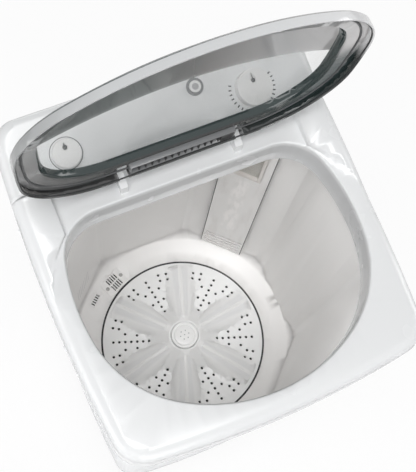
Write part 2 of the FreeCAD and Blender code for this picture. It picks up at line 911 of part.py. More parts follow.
def floor_height(reach):
    return val("pulsatorPlane") + floorSlope * (reach - val(wellRadius))


def dish(drop, well, well_floor, top):
    plane = val("pulsatorPlane") - drop
    far = halfWidth * 2
    return revolved([(0, well_floor), (well, well_floor), (well, plane),
                     (far, floor_height(far) - drop), (far, top), (0, top)])


# A frame on the sloping floor: X around the tub, Y uphill, Z square to the floor
def floor_frame(reach, bearing):
    spot = Vector(reach * cos(radians(bearing)), reach * sin(radians(bearing)), floor_height(reach))
    return Placement(spot, Rotation(up, bearing - 90) * Rotation(Vector(1, 0, 0), floorTilt))


drainFrame = floor_frame(val(drainReach), val("drainBearing"))
drainX = f"({drainFrame.Base.x:.3f})"
overflowFrame = floor_frame(val(overflowReach), val("overflowBearing"))


def seat_for(length, width):
    grow = val("grilleFit")
    return block(-length / 2 - grow, length / 2 + grow, -width / 2 - grow, width / 2 + grow,
                 -val("grilleThickness"), val("floorRise"))


def placed(shape, placement):
    moved = shape.copy()
    moved.Placement = placement
    return moved


def chamber_block(inset):
    half_length = val("overflowLength") / 2 - inset
    half_width = val("overflowWidth") / 2 - inset
    return block(-half_length, half_length, -half_width, half_width, inset - val("chamberDepth"), 0)


def make_tub():
    rim = val(flangeTop)
    wall = val("tubWall")
    well_floor = val(wellFloor)
    well = val(wellRadius)
    floor = val("tubFloor")
    start = val(tubUnder) - val("floorRise")
    outside = tub_prism(wall, start, rim).common(dish(floor, well + floor, val(tubUnder), rim))
    inside = tub_prism(0, start, rim + 1).common(dish(0, well, well_floor, rim + 1))
    flange = prism(deckPlan, -val(cabinetInset), val(cabinetTop), rim)
    sump_floor = val("pulsatorPlane - sumpDepth")
    spot = drainFrame.Base
    sump = rod(val("sumpRadius + sumpWall"), sump_floor, spot.z, spot.x, spot.y)
    chamber = placed(chamber_block(0), overflowFrame)
    tub = outside.fuse([flange, sump, chamber]).cut(inside)
    cuts = [rod(val("sumpRadius"), sump_floor + val("sumpWall"), rim, spot.x, spot.y),
            rod(val("valveBore"), sump_floor - 1, rim, spot.x, spot.y),
            placed(chamber_block(val("sumpWall")), overflowFrame),
            placed(seat_for(val("grilleWidth"), val("grilleLength")), drainFrame),
            placed(seat_for(val("overflowLength"), val("overflowWidth")), overflowFrame),
            rod(val("neckRadius"), 0, rim)]
    moulded("wash_tub", tub.cut(cuts).removeSplitter())


# A slotted plate, flush with the floor
def make_grille(label, length, width, slot_length, rows, frame):
    body = padded(label, rectangle(f"{length} / 2", f"{width} / 2"), "0 - grilleThickness", "grilleThickness")
    for row in rows:
        slot = pocket(body, "0", "grilleThickness",
                      rectangle("grilleSlot / 2", f"{slot_length} / 2", x="0 - grillePitch * 2", y=row))
        repeat_along(body, slot, "H_Axis", "grillePitch * 4", 5)
    body.Placement = frame


def make_grilles():
    make_grille("drain_grille", "grilleWidth", "grilleLength", "grilleSlotLength",
                ["0 - grilleRow / 2", "grilleRow / 2"], drainFrame)
    make_grille("overflow_grille", "overflowLength", "overflowWidth", "overflowSlotLength", ["0"], overflowFrame)
    reach = val("grilleScrewReach")
    places = [drainFrame.multiply(Placement(Vector(side * reach, 0, 0), Rotation())) for side in (-1, 1)]
    moulded("drain_grille_screws", screw_heads(places))


# Water channel on the rear right facet: X along the facet, Y inwards, Z up the wall

def channel_frame():
    half, end = val(tubHalf) - val("tubDraft"), val(tubEnd) - val("tubDraft")
    corner = val("tubCorner") - (2 - sqrt(2)) * val("tubDraft")
    middle = Vector(half - corner / 2, end - corner / 2, val(tubUnder) - val("floorRise"))
    lean = degrees(atan2(val("tubDraft"), val(flangeTop) - middle.z))
    return Placement(middle, Rotation(up, 135) * Rotation(Vector(1, 0, 0), lean))


channelFrame = channel_frame()
channelReach = hypot(channelFrame.Base.x, channelFrame.Base.y)
channelBottom = floor_height(channelReach) - channelFrame.Base.z + val("channelFoot")
channelTop = val("ledgeHeight - collarDepth - channelHead") - channelFrame.Base.z
cassetteTop = channelTop - val("cassetteDrop")
cassetteFoot = cassetteTop - val("cassetteHeight")


def make_filter_panel():
    half = val("channelWidth") / 2
    wall = val("channelWall")
    back = val("channelGap")
    front = back + val("channelDepth")
    shell = block(-half, half, back, front, channelBottom, channelTop)
    shell = shell.cut(block(wall - half, half - wall, back - 1, front - wall, channelBottom - 1, channelTop - wall))
    fit = val("cassetteFit")
    window_half = val("cassetteWidth") / 2 + fit
    window = block(-window_half, window_half, 0, front + 1, cassetteFoot - val("cassetteRoom"), cassetteTop + fit)
    slots = []
    for count in range(4):
        low = channelBottom + val("channelSlot") * (2 * count + 1)
        slots.append(block(wall * 2 - half, half - wall * 2, front - wall - 1, front + 1, low, low + val("channelSlot")))
    moulded("filter_panel", shell.cut([window] + slots), channelFrame)


def make_cassette():
    half = val("cassetteWidth") / 2
    rim = val("cassetteRim")
    front = val("channelGap + channelDepth + cassetteProud")
    back = front - val("cassetteDepth")
    opening = block(rim - half, half - rim, back - 1, front + 1, cassetteFoot + rim, cassetteTop - rim)
    frame = block(-half, half, back, front, cassetteFoot, cassetteTop).cut(opening)
    mesh_back = (front + back) / 2
    mesh = opening.common(block(-half, half, mesh_back, mesh_back + val("meshThickness"), cassetteFoot, cassetteTop))
    bars = []
    for count in range(1, 4):
        height = cassetteFoot + count * (cassetteTop - cassetteFoot) / 4
        bars.append(opening.common(block(-half, half, back, mesh_back, height - rim / 4, height + rim / 4)))
    moulded("filter_frame", frame.fuse(bars).removeSplitter(), channelFrame)
    moulded("filter_mesh", mesh, channelFrame)


# Pulsator: flat disc, raised hub, six rounded vanes and a tree of holes between them

# A vane is the top of a cone that lies outwards and down, its crest a straight line
def vane():
    root, tip = val("vaneRoot"), val("vaneTip")
    reach = val("pulsatorRadius - pulsatorRim")
    start = Vector(val("capRadius"), 0, val("pulsatorPlane + hubHeight - pulsatorWall / 2"))
    end = Vector(reach, 0, val("pulsatorPlane + vaneCrest"))
    crest = end - start
    opening = degrees(asin((tip - root) / crest.Length))
    along = Rotation(Vector(0, 1, 0), opening).multVec(crest).normalize()
    inward = Rotation(Vector(0, 1, 0), 90).multVec(along)
    length = crest.Length * cos(radians(opening))
    base = start + inward * root
    cone = Part.makeCone(root, tip, length, base, along)
    return cone.rotate(base, along, 180)


# Six-sided holes: one row along the middle and two branches on either side
def pulsator_holes():
    low, high = val("pulsatorPlane - pulsatorRim") - 1, val("pulsatorPlane + hubHeight")
    step, spread = val("holeStep"), val("holeSpread")
    start = val("pulsatorRadius - holeRimGap") - step * 6
    spots = [(start + step * count, 0) for count in range(7)]
    for side in (-1, 1):
        for along, across in ((2, 1), (4, 1.25), (5, 2.1), (6, 2.3), (4.5, 3.2), (5.5, 3.5)):
            spots.append((start + step * along, side * spread * across))
    turns = [Rotation(up, 60 * count) for count in range(7)]
    corners = [turn.multVec(Vector(val("holeRadius"), 0, low)) for turn in turns]
    hole = Part.Face(Part.makePolygon(corners)).extrude(up * (high - low))
    return at_each(hole, [Placement(Vector(x, y, 0), Rotation()) for x, y in spots])


def make_pulsator():
    plane = val("pulsatorPlane")
    wall, rim = val("pulsatorWall"), val("pulsatorRim")
    radius, hub = val("pulsatorRadius"), val("hubRadius")
    foot, crest, web = val("hubFoot"), val("hubHeight"), val("shaftTop")
    bore = val("shaftRadius + shaftFit")
    cap, boss = val("capRadius"), val("bossRadius")
    under = [(boss, -rim), (boss, web - wall), (hub, web - wall), (foot - wall, -wall),
             (radius - wall, -wall), (radius - wall, -rim)]
    over = [(radius, -rim), (radius, 0), (foot, 0), (hub, crest)]
    well = [(cap, crest), (cap, web), (bore, web), (bore, -rim)]
    disc = revolved([(reach, plane + height) for reach, height in under + over + well])
    deep = -val("vaneTip") * 2
    room = [(0, deep), (radius * 2, deep), (radius * 2, -wall / 2), (radius, -wall / 2),
            (foot, -wall / 2), (hub, web - wall / 2), (cap, web - wall / 2), (cap, crest * 2), (0, crest * 2)]
    spare = revolved([(reach, plane + height) for reach, height in room])
    turns = [Rotation(up, val("vaneBearing") + 60 * count) for count in range(6)]
    vanes = at_each(vane().cut(spare), [Placement(Vector(), turn) for turn in turns])
    between = Rotation(up, 30)
    holes = []
    for hole in pulsator_holes():
        holes += [placed(hole, Placement(Vector(), turn * between).multiply(hole.Placement)) for turn in turns]
    moulded("pulsator", disc.fuse(vanes).cut(holes).removeSplitter())


def make_pulsator_cap():
    brim = "(pulsatorPlane + hubHeight)"
    turned("pulsator_cap", [("0", f"{brim} - pulsatorWall"), ("capRadius", f"{brim} - pulsatorWall"),
                            ("capRadius", f"{brim} + capCrown"), ("0", f"{brim} + capCrown")])


# Drive: shaft in its bearing housing, belt drive and motor on a bracket

def make_shaft_set():
    head = f"({shaftShoulder} + shaftHeadHeight)"
    shaft = turned("drive_shaft", [("0", pulleyFoot), ("shaftRadius", pulleyFoot), ("shaftRadius", shaftShoulder),
                                   ("shaftHead", shaftShoulder), ("shaftHead", head), ("0", head)])
    nut = shaft.newObject("PartDesign::Pad", "Nut")
    nut.Profile = new_sketch(shaft, "XY_Plane", pulleyFoot)
    side = [("1", "0"), ("0.5", "0.866"), ("-0.5", "0.866"), ("-1", "0"), ("-0.5", "-0.866"), ("0.5", "-0.866")]
    draw_outline(nut.Profile[0], [(f"nutRadius * ({x})", f"nutRadius * ({y})") for x, y in side])
    nut.setExpression("Length", bound("nutHeight"))
    nut.Reversed = True
    foot, top = "bracketHeight", tubUnder
    turned("bearing_housing", [("shaftRadius + shaftFit", foot), ("barrelRadius", foot), ("barrelRadius", top),
                               ("neckRadius", top), ("neckRadius", f"{wellFloor} + neckRise"),
                               ("shaftRadius + shaftFit", f"{wellFloor} + neckRise")])


# Flat wheels, the motor's turned in one with its shaft
def make_belt_drive():
    turned("driven_pulley", [("shaftRadius", pulleyFoot), ("pulleyRadius", pulleyFoot), ("pulleyRadius", pulleyTop),
                             ("shaftRadius", pulleyTop)])
    head = "(bracketHeight + motorHeight / 2)"
    turned("motor_pulley", [("0", pulleyFoot), ("motorPulleyRadius", pulleyFoot), ("motorPulleyRadius", pulleyTop),
                            ("motorShaftRadius", pulleyTop), ("motorShaftRadius", head), ("0", head)])
    place(pieces[-1], "motorAcross", "motorBehind", "0")
    moulded("drive_belt", belt())


def belt_loop(extra, z):
    reach = hypot(val("motorAcross"), val("motorBehind"))
    heading = atan2(val("motorBehind"), val("motorAcross"))
    large = val("pulleyRadius + beltFit") + extra
    small = val("motorPulleyRadius + beltFit") + extra
    spread = atan2(sqrt(reach ** 2 - (large - small) ** 2), large - small)
    motor = Vector(val("motorAcross"), val("motorBehind"), z)
    shaft = Vector(0, 0, z)

    def on(centre, radius, angle):
        return centre + Vector(cos(angle), sin(angle), 0) * radius

    near, far = heading + spread, heading - spread
    return Part.Wire([
        Part.LineSegment(on(shaft, large, near), on(motor, small, near)).toShape(),
        Part.Arc(on(motor, small, near), on(motor, small, heading), on(motor, small, far)).toShape(),
        Part.LineSegment(on(motor, small, far), on(shaft, large, far)).toShape(),
        Part.Arc(on(shaft, large, far), on(shaft, -large, heading), on(shaft, large, near)).toShape()])


def belt():
    half = val("beltWidth") / 2
    low = val(beltMiddle) - half
    outer = Part.Face(belt_loop(val("beltThickness"), low)).extrude(up * half * 2)
    return outer.cut(Part.Face(belt_loop(0, low)).extrude(up * half * 2))


def make_motor():
    head = "(bracketHeight + motorHeight)"
    socket = "(bracketHeight + motorHeight / 2)"
    turned("motor_body", [("motorShaftRadius + shaftFit", "bracketHeight"), ("motorRadius", "bracketHeight"),
                          ("motorRadius", head), ("0", head), ("0", f"{socket} + bracketMargin"),
                          ("motorShaftRadius + shaftFit", f"{socket} + bracketMargin")])
    place(pieces[-1], "motorAcross", "motorBehind", "0")
    turned("capacitor", [("0", "bracketHeight"), ("capacitorRadius", "bracketHeight"),
                         ("capacitorRadius", "bracketHeight + capacitorHeight"),
                         ("0", "bracketHeight + capacitorHeight")])
    place(pieces[-1], "capacitorAcross", "0 - capacitorAhead", "0")


def make_bracket():
    right = "(motorAcross + motorRadius + bracketMargin)"
    rear = "(motorBehind + motorRadius + bracketMargin)"
    corners = [("0 - bracketHalf", "0 - bracketFront"), ("bracketHalf", "0 - bracketFront"),
               (right, "motorBehind - motorRadius"), (right, rear), ("motorAcross - motorRadius", rear),
               ("0 - bracketHalf", "bracketFront")]
    holes = [("0", "0", "neckRadius"), ("motorAcross", "motorBehind", "motorPassage")]
    padded("motor_bracket", corners, "bracketHeight - bracketThickness", "bracketThickness", holes)


# Drain run from the sump to the recessed outlet at the rear

def make_drain():
    spot = drainFrame.Base
    top = val("pulsatorPlane - sumpDepth")
    outlet = val("outletHeight")
    half, bore = val("valveHalf"), val("valveBore")
    rear = val(cupFloor)
    body = block(spot.x - half, spot.x + half, spot.y - half, rear, outlet - half, top)
    way_out = Part.makeCylinder(bore, rear - spot.y, Vector(spot.x, spot.y, outlet), Vector(0, 1, 0))
    moulded("drain_valve", body.cut([rod(bore, outlet, top, spot.x, spot.y), way_out]))
    cup, wall, face = val("cupHalf"), val("cupWall"), val(cabinetRear)
    recess = block(spot.x - cup, spot.x + cup, rear, face, outlet - cup, outlet + cup)
    inner = cup - wall
    room = block(spot.x - inner, spot.x + inner, rear + wall, face, outlet - inner, outlet + inner)
    pipe = Part.makeCylinder(val("spigotRadius"), face - rear - val("spigotBack"), Vector(spot.x, rear, outlet),
                             Vector(0, 1, 0))
    bore = Part.makeCylinder(val("spigotRadius") - wall, face - rear, Vector(spot.x, rear, outlet), Vector(0, 1, 0))
    moulded("drain_spigot", recess.cut(room).fuse(pipe).cut(bore))
    to_rear = Rotation(Vector(1, 0, 0), -90)
    turned("cord_gland", [("glandBore", "coverThickness - glandDepth"), ("glandRadius", "coverThickness - glandDepth"),
                          ("glandRadius", "coverThickness"), ("glandBore", "coverThickness")])
    place(pieces[-1], "glandAcross", cabinetRear, "outletHeight", to_rear)


# Knobs, switches and the push button, drawn on the panel's own frame

# A knob and the spindle that it is moulded on
def make_knob(label, radius, height, spot):
    knob = turned(label, [("0", "0 - panelWall"), ("spindleRadius", "0 - panelWall"), ("spindleRadius", "knobGap"),
                          (radius, "knobGap"), (radius, height), ("0", height)])
    tip = f"{radius} - knobMargin"
    pocket(knob, height, "pointerDepth", [("0", tip), ("0 - pointerWidth / 2", f"{radius} * 0.45"),
                                          ("0 - pointerWidth / 4", f"{radius} * 0.25"),
                                          ("pointerWidth / 4", f"{radius} * 0.25"),
                                          ("pointerWidth / 2", f"{radius} * 0.45")])
    knob.Placement = panel_frame(*spot)


# Switch bodies sit against the panel's underside
def make_switch_body(label, length, breadth, depth, offset, spot):
    body = padded(label, rectangle(f"{length} / 2", f"{breadth} / 2", y=offset), f"0 - panelWall - {depth}", depth)
    body.Placement = panel_frame(*spot)
    return body


def make_controls():
    make_knob("timer_knob", "timerRadius", "timerHeight", timerSpot)
    make_switch_body("timer_body", "timerLength", "timerBreadth", "timerDepth", "switchOffset", timerSpot)
    make_knob("selector_knob", "selectorRadius", "selectorHeight", selectorSpot)
    make_switch_body("selector_switch", "switchLength", "switchLength", "switchDepth", "switchOffset", selectorSpot)
    button = turned("push_button", [("0", "0 - buttonDepth"), ("buttonRadius", "0 - buttonDepth"),
                                    ("buttonRadius", "buttonProud"), ("0", "buttonProud")])
    sleeve = "buttonRadius + buttonFit"
    bezel = turned("button_bezel", [(sleeve, "0"), ("bezelRadius", "0"), ("bezelRadius", "bezelProud"),
                                    (sleeve, "bezelProud")])
    for piece in (button, bezel):
        piece.Placement = panel_frame(*buttonSpot)
    body = make_switch_body("button_switch", "bezelRadius * 2", "bezelRadius * 2",
                            "(buttonDepth + buttonTravel + switchDepth / 2)", "0", buttonSpot)
    room = "(buttonRadius + spindleRoom)"
    pocket(body, "0 - panelWall", "buttonDepth + buttonTravel + spindleRoom - panelWall", rectangle(room, room))


make_base()
make_feet()
make_cabinet()
make_rear_cover()
make_tub()
make_filter_panel()
make_cassette()
make_grilles()
make_top_deck()
make_control_panel()
make_body_screws()
make_hinge_ear("hinge_ear_right", earInner)
make_hinge_ear("hinge_ear_left", f"0 - {earOuter}")
make_lid()
make_hinge_pins()
make_pulsator()
make_pulsator_cap()
make_shaft_set()
make_belt_drive()
make_motor()
make_bracket()
make_drain()
make_controls()
doc.recompute()

failed = [item.Name for item in doc.Objects if "Invalid" in item.State or "Error" in item.State]
failed += [piece.Label for piece in pieces if piece.Shape.isNull() or not piece.Shape.isValid()]
if failed:
    raise RuntimeError("these did not build: " + ", ".join(failed))

os.makedirs("parts", exist_ok=True)
for piece in pieces:
    piece.Shape.exportStep(f"parts/{piece.Label}.step")
print(f"{len(pieces)} pieces written")
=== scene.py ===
import bpy
import json
import math
from mathutils import Matrix, Vector

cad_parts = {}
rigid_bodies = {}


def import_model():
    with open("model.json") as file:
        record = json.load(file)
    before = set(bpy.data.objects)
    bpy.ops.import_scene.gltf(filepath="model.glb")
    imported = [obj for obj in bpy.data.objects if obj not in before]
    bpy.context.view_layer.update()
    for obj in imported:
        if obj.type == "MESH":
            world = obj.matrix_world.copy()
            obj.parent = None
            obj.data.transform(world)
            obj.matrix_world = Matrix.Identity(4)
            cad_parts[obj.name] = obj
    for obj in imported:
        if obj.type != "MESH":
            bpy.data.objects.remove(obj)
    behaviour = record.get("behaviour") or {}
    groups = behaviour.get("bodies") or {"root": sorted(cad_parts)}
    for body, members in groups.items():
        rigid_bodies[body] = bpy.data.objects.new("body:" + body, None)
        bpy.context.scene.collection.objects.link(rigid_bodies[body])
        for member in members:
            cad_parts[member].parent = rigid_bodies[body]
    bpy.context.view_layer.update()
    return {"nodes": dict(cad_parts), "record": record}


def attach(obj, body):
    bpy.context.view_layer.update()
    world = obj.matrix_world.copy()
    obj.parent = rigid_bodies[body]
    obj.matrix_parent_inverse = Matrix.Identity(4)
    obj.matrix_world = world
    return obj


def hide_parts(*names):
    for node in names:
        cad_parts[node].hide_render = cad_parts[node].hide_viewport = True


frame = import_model()
nodes = frame["nodes"]
record = frame["record"]
bodyOf = {name: body for body, members in record["behaviour"]["bodies"].items() for name in members}
slotOf = {part["node"]: part["material_slot"] for part in record["subparts"]}
jointOf = {joint["name"]: joint for joint in record["behaviour"]["joints"]}
scene = bpy.context.scene
scene.view_settings.view_transform = "Standard"
bpy.ops.object.select_all(action="DESELECT")
print("frame:", len(nodes), "nodes")

# the viewer stands in front and to the left, and looks down into the tub
viewer = {
    "place": (-0.2670, -0.3115, 2.0223),
    "turn": (19.193, -5.103, -23.534),
    "lens": 69.82,
    "shift": (0.0082, -0.0222),
}


def setCamera():
    turn = [math.radians(angle) for angle in viewer["turn"]]
    bpy.ops.object.camera_add(location=viewer["place"], rotation=turn)
    camera = bpy.context.object
    camera.data.lens = viewer["lens"]
    camera.data.shift_x, camera.data.shift_y = viewer["shift"]
    scene.camera = camera


# soft boxes, with their power in watts; tubFill hangs in the mouth and lights the tub
lamps = {
    "overhead": {"place": (-0.90, -1.00, 5.4), "aim": (0, 0, 0.6), "size": 2.4, "power": 168},
    "frontFill": {"place": (-0.9, -3.2, 1.1), "aim": (0, 0, 0.6), "size": 1.8, "power": 26},
    "rightFill": {"place": (3.1, -0.6, 1.1), "aim": (0, 0, 0.6), "size": 1.8, "power": 28},
    "leftFill": {"place": (-3.1, -0.4, 1.0), "aim": (0, 0, 0.6), "size": 1.8, "power": 26},
    "rearFill": {"place": (0.6, 3.3, 1.1), "aim": (0, 0, 0.6), "size": 1.8, "power": 28},
    "tubFill": {"place": (0, -0.05, 0.80), "aim": (0, -0.049, 0.2), "size": 0.30, "power": 0.26},
}


def setLamps():
    for name, lamp in lamps.items():
        toward = Vector(lamp["aim"]) - Vector(lamp["place"])
        turn = toward.to_track_quat("-Z", "Y").to_euler()
        bpy.ops.object.light_add(type="AREA", location=lamp["place"], rotation=turn)
        light = bpy.context.object
        light.name = name
        light.data.size = lamp["size"]
        light.data.energy = lamp["power"]
        light.visible_camera = False


# a socket in a node tree: arithmetic on it adds Math nodes
class Shade:
    def __init__(self, tree, socket=None):
        self.tree = tree
        self.socket = socket

    def feed(self, entry, value):
        if isinstance(value, Shade):
            self.tree.links.new(value.socket, entry)
        elif value is not None:
            entry.default_value = value

    def make(self, kind, settings=None, values=None, pick=0):
        node = self.tree.nodes.new(kind)
        for name, setting in (settings or {}).items():
            if name == "stops":
                ramp = node.color_ramp
                while len(ramp.elements) < len(setting):
                    ramp.elements.new(0.5)
                for element, (place, colour) in zip(ramp.elements, setting):
                    element.position = place
                    element.color = (*colour, 1)
            else:
                setattr(node, name, setting)
        for name, value in (values or {}).items():
            self.feed(node.inputs[name], value)
        return Shade(self.tree, node.outputs[pick])

    def maths(self, operation, first, second=None):
        return self.make("ShaderNodeMath", {"operation": operation}, {0: first, 1: second})

    # the sockets of a colour mix share their names, so they go by number
    def mix(self, mask, first, second):
        colours = [(*colour, 1) if isinstance(colour, tuple) else colour for colour in (first, second)]
        return self.make("ShaderNodeMix", {"data_type": "RGBA"}, {0: mask, 6: colours[0], 7: colours[1]}, 2)

    # 0 up to start, 1 from end on, soft between them
    def step(self, start, end):
        return self.make("ShaderNodeMapRange", {"interpolation_type": "SMOOTHSTEP"},
                         {"Value": self, "From Min": start, "From Max": end})

    def fall(self, start, end):
        return 1 - self.step(start, end)

    def __abs__(self):
        return self.maths("ABSOLUTE", self)

    def __add__(self, other):
        return self.maths("ADD", self, other)

    __radd__ = __add__

    def __sub__(self, other):
        return self.maths("SUBTRACT", self, other)

    def __rsub__(self, other):
        return self.maths("SUBTRACT", other, self)

    def __mul__(self, other):
        return self.maths("MULTIPLY", self, other)

    def __truediv__(self, other):
        return self.maths("DIVIDE", self, other)


class Finish:
    def __init__(self, name):
        self.material = bpy.data.materials.new(name)
        self.material.use_nodes = True
        self.tree = self.material.node_tree
        self.shader = self.tree.nodes["Principled BSDF"]
        self.shade = Shade(self.tree)
        self.place = self.shade.make("ShaderNodeTexCoord", pick="Object")

    def set(self, **values):
        for name, value in values.items():
            self.shade.feed(self.shader.inputs[name.replace("_", " ")], value)

    def noise(self, scale, detail=2, stretch=None):
        place = self.place
        if stretch:
            place = self.shade.make("ShaderNodeMapping", None, {"Vector": place, "Scale": stretch})
        return self.shade.make("ShaderNodeTexNoise", None,
                               {"Vector": place, "Scale": scale, "Detail": detail})

    def vector(self, operation, first, second=None, pick="Vector"):
        return self.shade.make("ShaderNodeVectorMath", {"operation": operation}, {0: first, 1: second}, pick)

    # place along a direction
    def along(self, direction):
        return self.vector("DOT_PRODUCT", self.place, direction, "Value")

    # distance from a straight line
    def reach(self, centre, direction):
        offset = self.vector("SUBTRACT", self.place, centre)
        return self.vector("LENGTH", self.vector("CROSS_PRODUCT", offset, direction), pick="Value")

    def axis(self, pick):
        return self.shade.make("ShaderNodeSeparateXYZ", None, {"Vector": self.place}, pick)

    def bump(self, height, strength, distance):
        normal = self.shade.make("ShaderNodeBump", None,
                                 {"Height": height, "Strength": strength, "Distance": distance})
        self.set(Normal=normal)


# moulded plastics: colour, the colour that it drifts to, gloss, and the grain of the mould
plastics = {
    "white_gloss": {"colour": (0.81, 0.82, 0.825), "drift": (0.78, 0.79, 0.80), "rough": 0.26, "coat": 0.3,
                    "grain": 160, "relief": 0.006},
    "white_body": {"colour": (0.80, 0.81, 0.82), "drift": (0.77, 0.78, 0.79), "rough": 0.30, "coat": 0.2,
                   "grain": 240, "relief": 0.025},
    "console_grey": {"colour": (0.74, 0.75, 0.755), "drift": (0.70, 0.71, 0.715), "rough": 0.34, "coat": 0.15,
                     "grain": 300, "relief": 0.03},
    "tub_grey": {"colour": (0.90, 0.89, 0.88), "drift": (0.86, 0.85, 0.84), "rough": 0.38, "coat": 0.1,
                 "grain": 220, "relief": 0.025},
    "grille": {"colour": (0.88, 0.87, 0.86), "drift": (0.82, 0.81, 0.80), "rough": 0.40, "coat": 0.1,
               "grain": 420, "relief": 0.06},
    "pulsator_grey": {"colour": (0.88, 0.885, 0.88), "drift": (0.84, 0.84, 0.84), "rough": 0.36, "coat": 0.1,
                      "grain": 240, "relief": 0.025},
    "channelCover": {"colour": (0.88, 0.87, 0.86), "drift": (0.82, 0.81, 0.80), "rough": 0.38, "coat": 0.1,
                     "grain": 220, "relief": 0.025},
    "cassette": {"colour": (0.84, 0.82, 0.80), "drift": (0.58, 0.54, 0.50), "rough": 0.40, "coat": 0.1,
                 "grain": 420, "relief": 0.06},
    "knob_white": {"colour": (0.83, 0.83, 0.82), "drift": (0.78, 0.78, 0.78), "rough": 0.28, "coat": 0.25,
                   "grain": 900, "relief": 0.04},
    "button_grey": {"colour": (0.20, 0.205, 0.21), "drift": (0.16, 0.165, 0.17), "rough": 0.36, "coat": 0.15,
                    "grain": 900, "relief": 0.05},
    "buttonFace": {"colour": (0.42, 0.42, 0.43), "drift": (0.36, 0.36, 0.37), "rough": 0.34, "coat": 0.15,
                   "grain": 900, "relief": 0.05},
    "base_grey": {"colour": (0.34, 0.35, 0.36), "drift": (0.28, 0.29, 0.30), "rough": 0.50, "coat": 0.0,
                  "grain": 420, "relief": 0.10},
    "rubber_black": {"colour": (0.022, 0.024, 0.025), "drift": (0.04, 0.04, 0.04), "rough": 0.62, "coat": 0.0,
                     "grain": 700, "relief": 0.18},
    "housing_dark": {"colour": (0.07, 0.073, 0.076), "drift": (0.05, 0.05, 0.053), "rough": 0.46, "coat": 0.1,
                     "grain": 700, "relief": 0.10},
    "drain_grey": {"colour": (0.46, 0.47, 0.48), "drift": (0.38, 0.39, 0.40), "rough": 0.48, "coat": 0.0,
                   "grain": 420, "relief": 0.08},
}
moulding = {"drift": 5, "driftFade": (0.2, 0.8), "driftShare": 0.6, "smudge": 17, "smudgeShare": 0.10,
            "coatRough": 0.16, "grainDepth": 0.0004}
upright = (0, 0, 1)
slope = jointOf["timer_turn"]["axis"]  # square to the console's face
edgeFade = 0.0005  # metres over which a painted edge softens

# the deck: painted shade, a grey wall round the mouth; a pair is where an edge starts and ends
collarShade = {"low": (0.760, 0.762), "high": (0.8175, 0.8265), "side": 0.2075, "front": -0.2195, "rear": 0.1065,
          "grey": (0.56, 0.57, 0.58), "share": 0.8}


def paintDeckShade(finish, colour):
    across, deep, high = (finish.axis(pick) for pick in (0, 1, 2))
    inside = abs(across).fall(collarShade["side"], collarShade["side"] + edgeFade) \
        * deep.step(collarShade["front"] - edgeFade, collarShade["front"]) \
        * deep.fall(collarShade["rear"], collarShade["rear"] + edgeFade)
    # painted shade on the wall inside the mouth
    wall = inside * high.step(*collarShade["low"]) * high.fall(*collarShade["high"])
    return finish.shade.mix(wall * collarShade["share"], colour, collarShade["grey"])


# the tub, all painted shade: dark in the gap round and under the pulsator and in the well under each grille,
# and grey stripes for faint pressed slots low on the rear left wall; a well has its distance and bearing from
# the middle, its half sizes and its level
tubShade = {
    "gap": 0.1675, "under": (0.1935, 0.1955), "dark": (0.022, 0.022, 0.024),
    "wells": (
        {"reach": 0.1840, "bearing": 117.5, "halfDepth": 0.0150, "halfWidth": 0.0160, "level": 0.2000},
        {"reach": 0.1953, "bearing": 133.5, "halfDepth": 0.0062, "halfWidth": 0.0130, "level": 0.2050},
    ),
    "wellFade": 0.001,
    "slotsAlong": (-0.7071, -0.7071, 0), "slotPitch": 0.0065, "slotWave": (0.2, 0.7),
    "slotsEnd": (0.025, 0.026), "slotsLow": (0.262, 0.264), "slotsHigh": (0.318, 0.320),
    "slotsLeft": (-0.06, -0.05), "slotGrey": (0.55, 0.55, 0.56), "slotShare": 0.5,
}


def paintTubShade(finish, colour):
    reach = finish.reach((0, 0, 0), upright)
    high = finish.axis(2)
    side = finish.along(tubShade["slotsAlong"])
    wave = finish.shade.maths("SINE", side * (2 * math.pi / tubShade["slotPitch"]))
    slotShade = wave.step(*tubShade["slotWave"]) * abs(side).fall(*tubShade["slotsEnd"]) \
        * high.step(*tubShade["slotsLow"]) * high.fall(*tubShade["slotsHigh"]) \
        * finish.axis(0).fall(*tubShade["slotsLeft"])
    # painted shade in the pressed slots
    colour = finish.shade.mix(slotShade * tubShade["slotShare"], colour, tubShade["slotGrey"])
    # painted shade in the well under each grille
    for well in tubShade["wells"]:
        turn = math.radians(well["bearing"])
        outward = finish.along((math.cos(turn), math.sin(turn), 0)) - well["reach"]
        aside = finish.along((-math.sin(turn), math.cos(turn), 0))
        wellShade = abs(outward).fall(well["halfDepth"] - edgeFade, well["halfDepth"]) \
            * abs(aside).fall(well["halfWidth"] - edgeFade, well["halfWidth"]) \
            * high.fall(well["level"], well["level"] + tubShade["wellFade"])
        colour = finish.shade.mix(wellShade, colour, tubShade["dark"])
    # painted shade in the gap round and under the pulsator
    under = reach.fall(tubShade["gap"] - edgeFade, tubShade["gap"]) * high.fall(*tubShade["under"])
    return finish.shade.mix(under, colour, tubShade["dark"])


# the pulsator: painted shade on the flanks of each vane, a painted highlight along its crest, and painted
# shade on its rim by the gap
vaneMarks = {
    "start": 10, "count": 6, "width": 0.0065, "spread": 0.078, "crestWidth": 0.0038,
    "inner": (0.034, 0.046), "outer": (0.148, 0.158), "rim": 0.1615,
    "flankShade": (0.70, 0.705, 0.715), "flankFade": (0.75, 1.15), "flankShare": 0.5,
    "crest": (0.90, 0.90, 0.89), "crestFade": (0.7, 1.3), "crestShare": 0.7,
    "dark": (0.05, 0.05, 0.055),
}


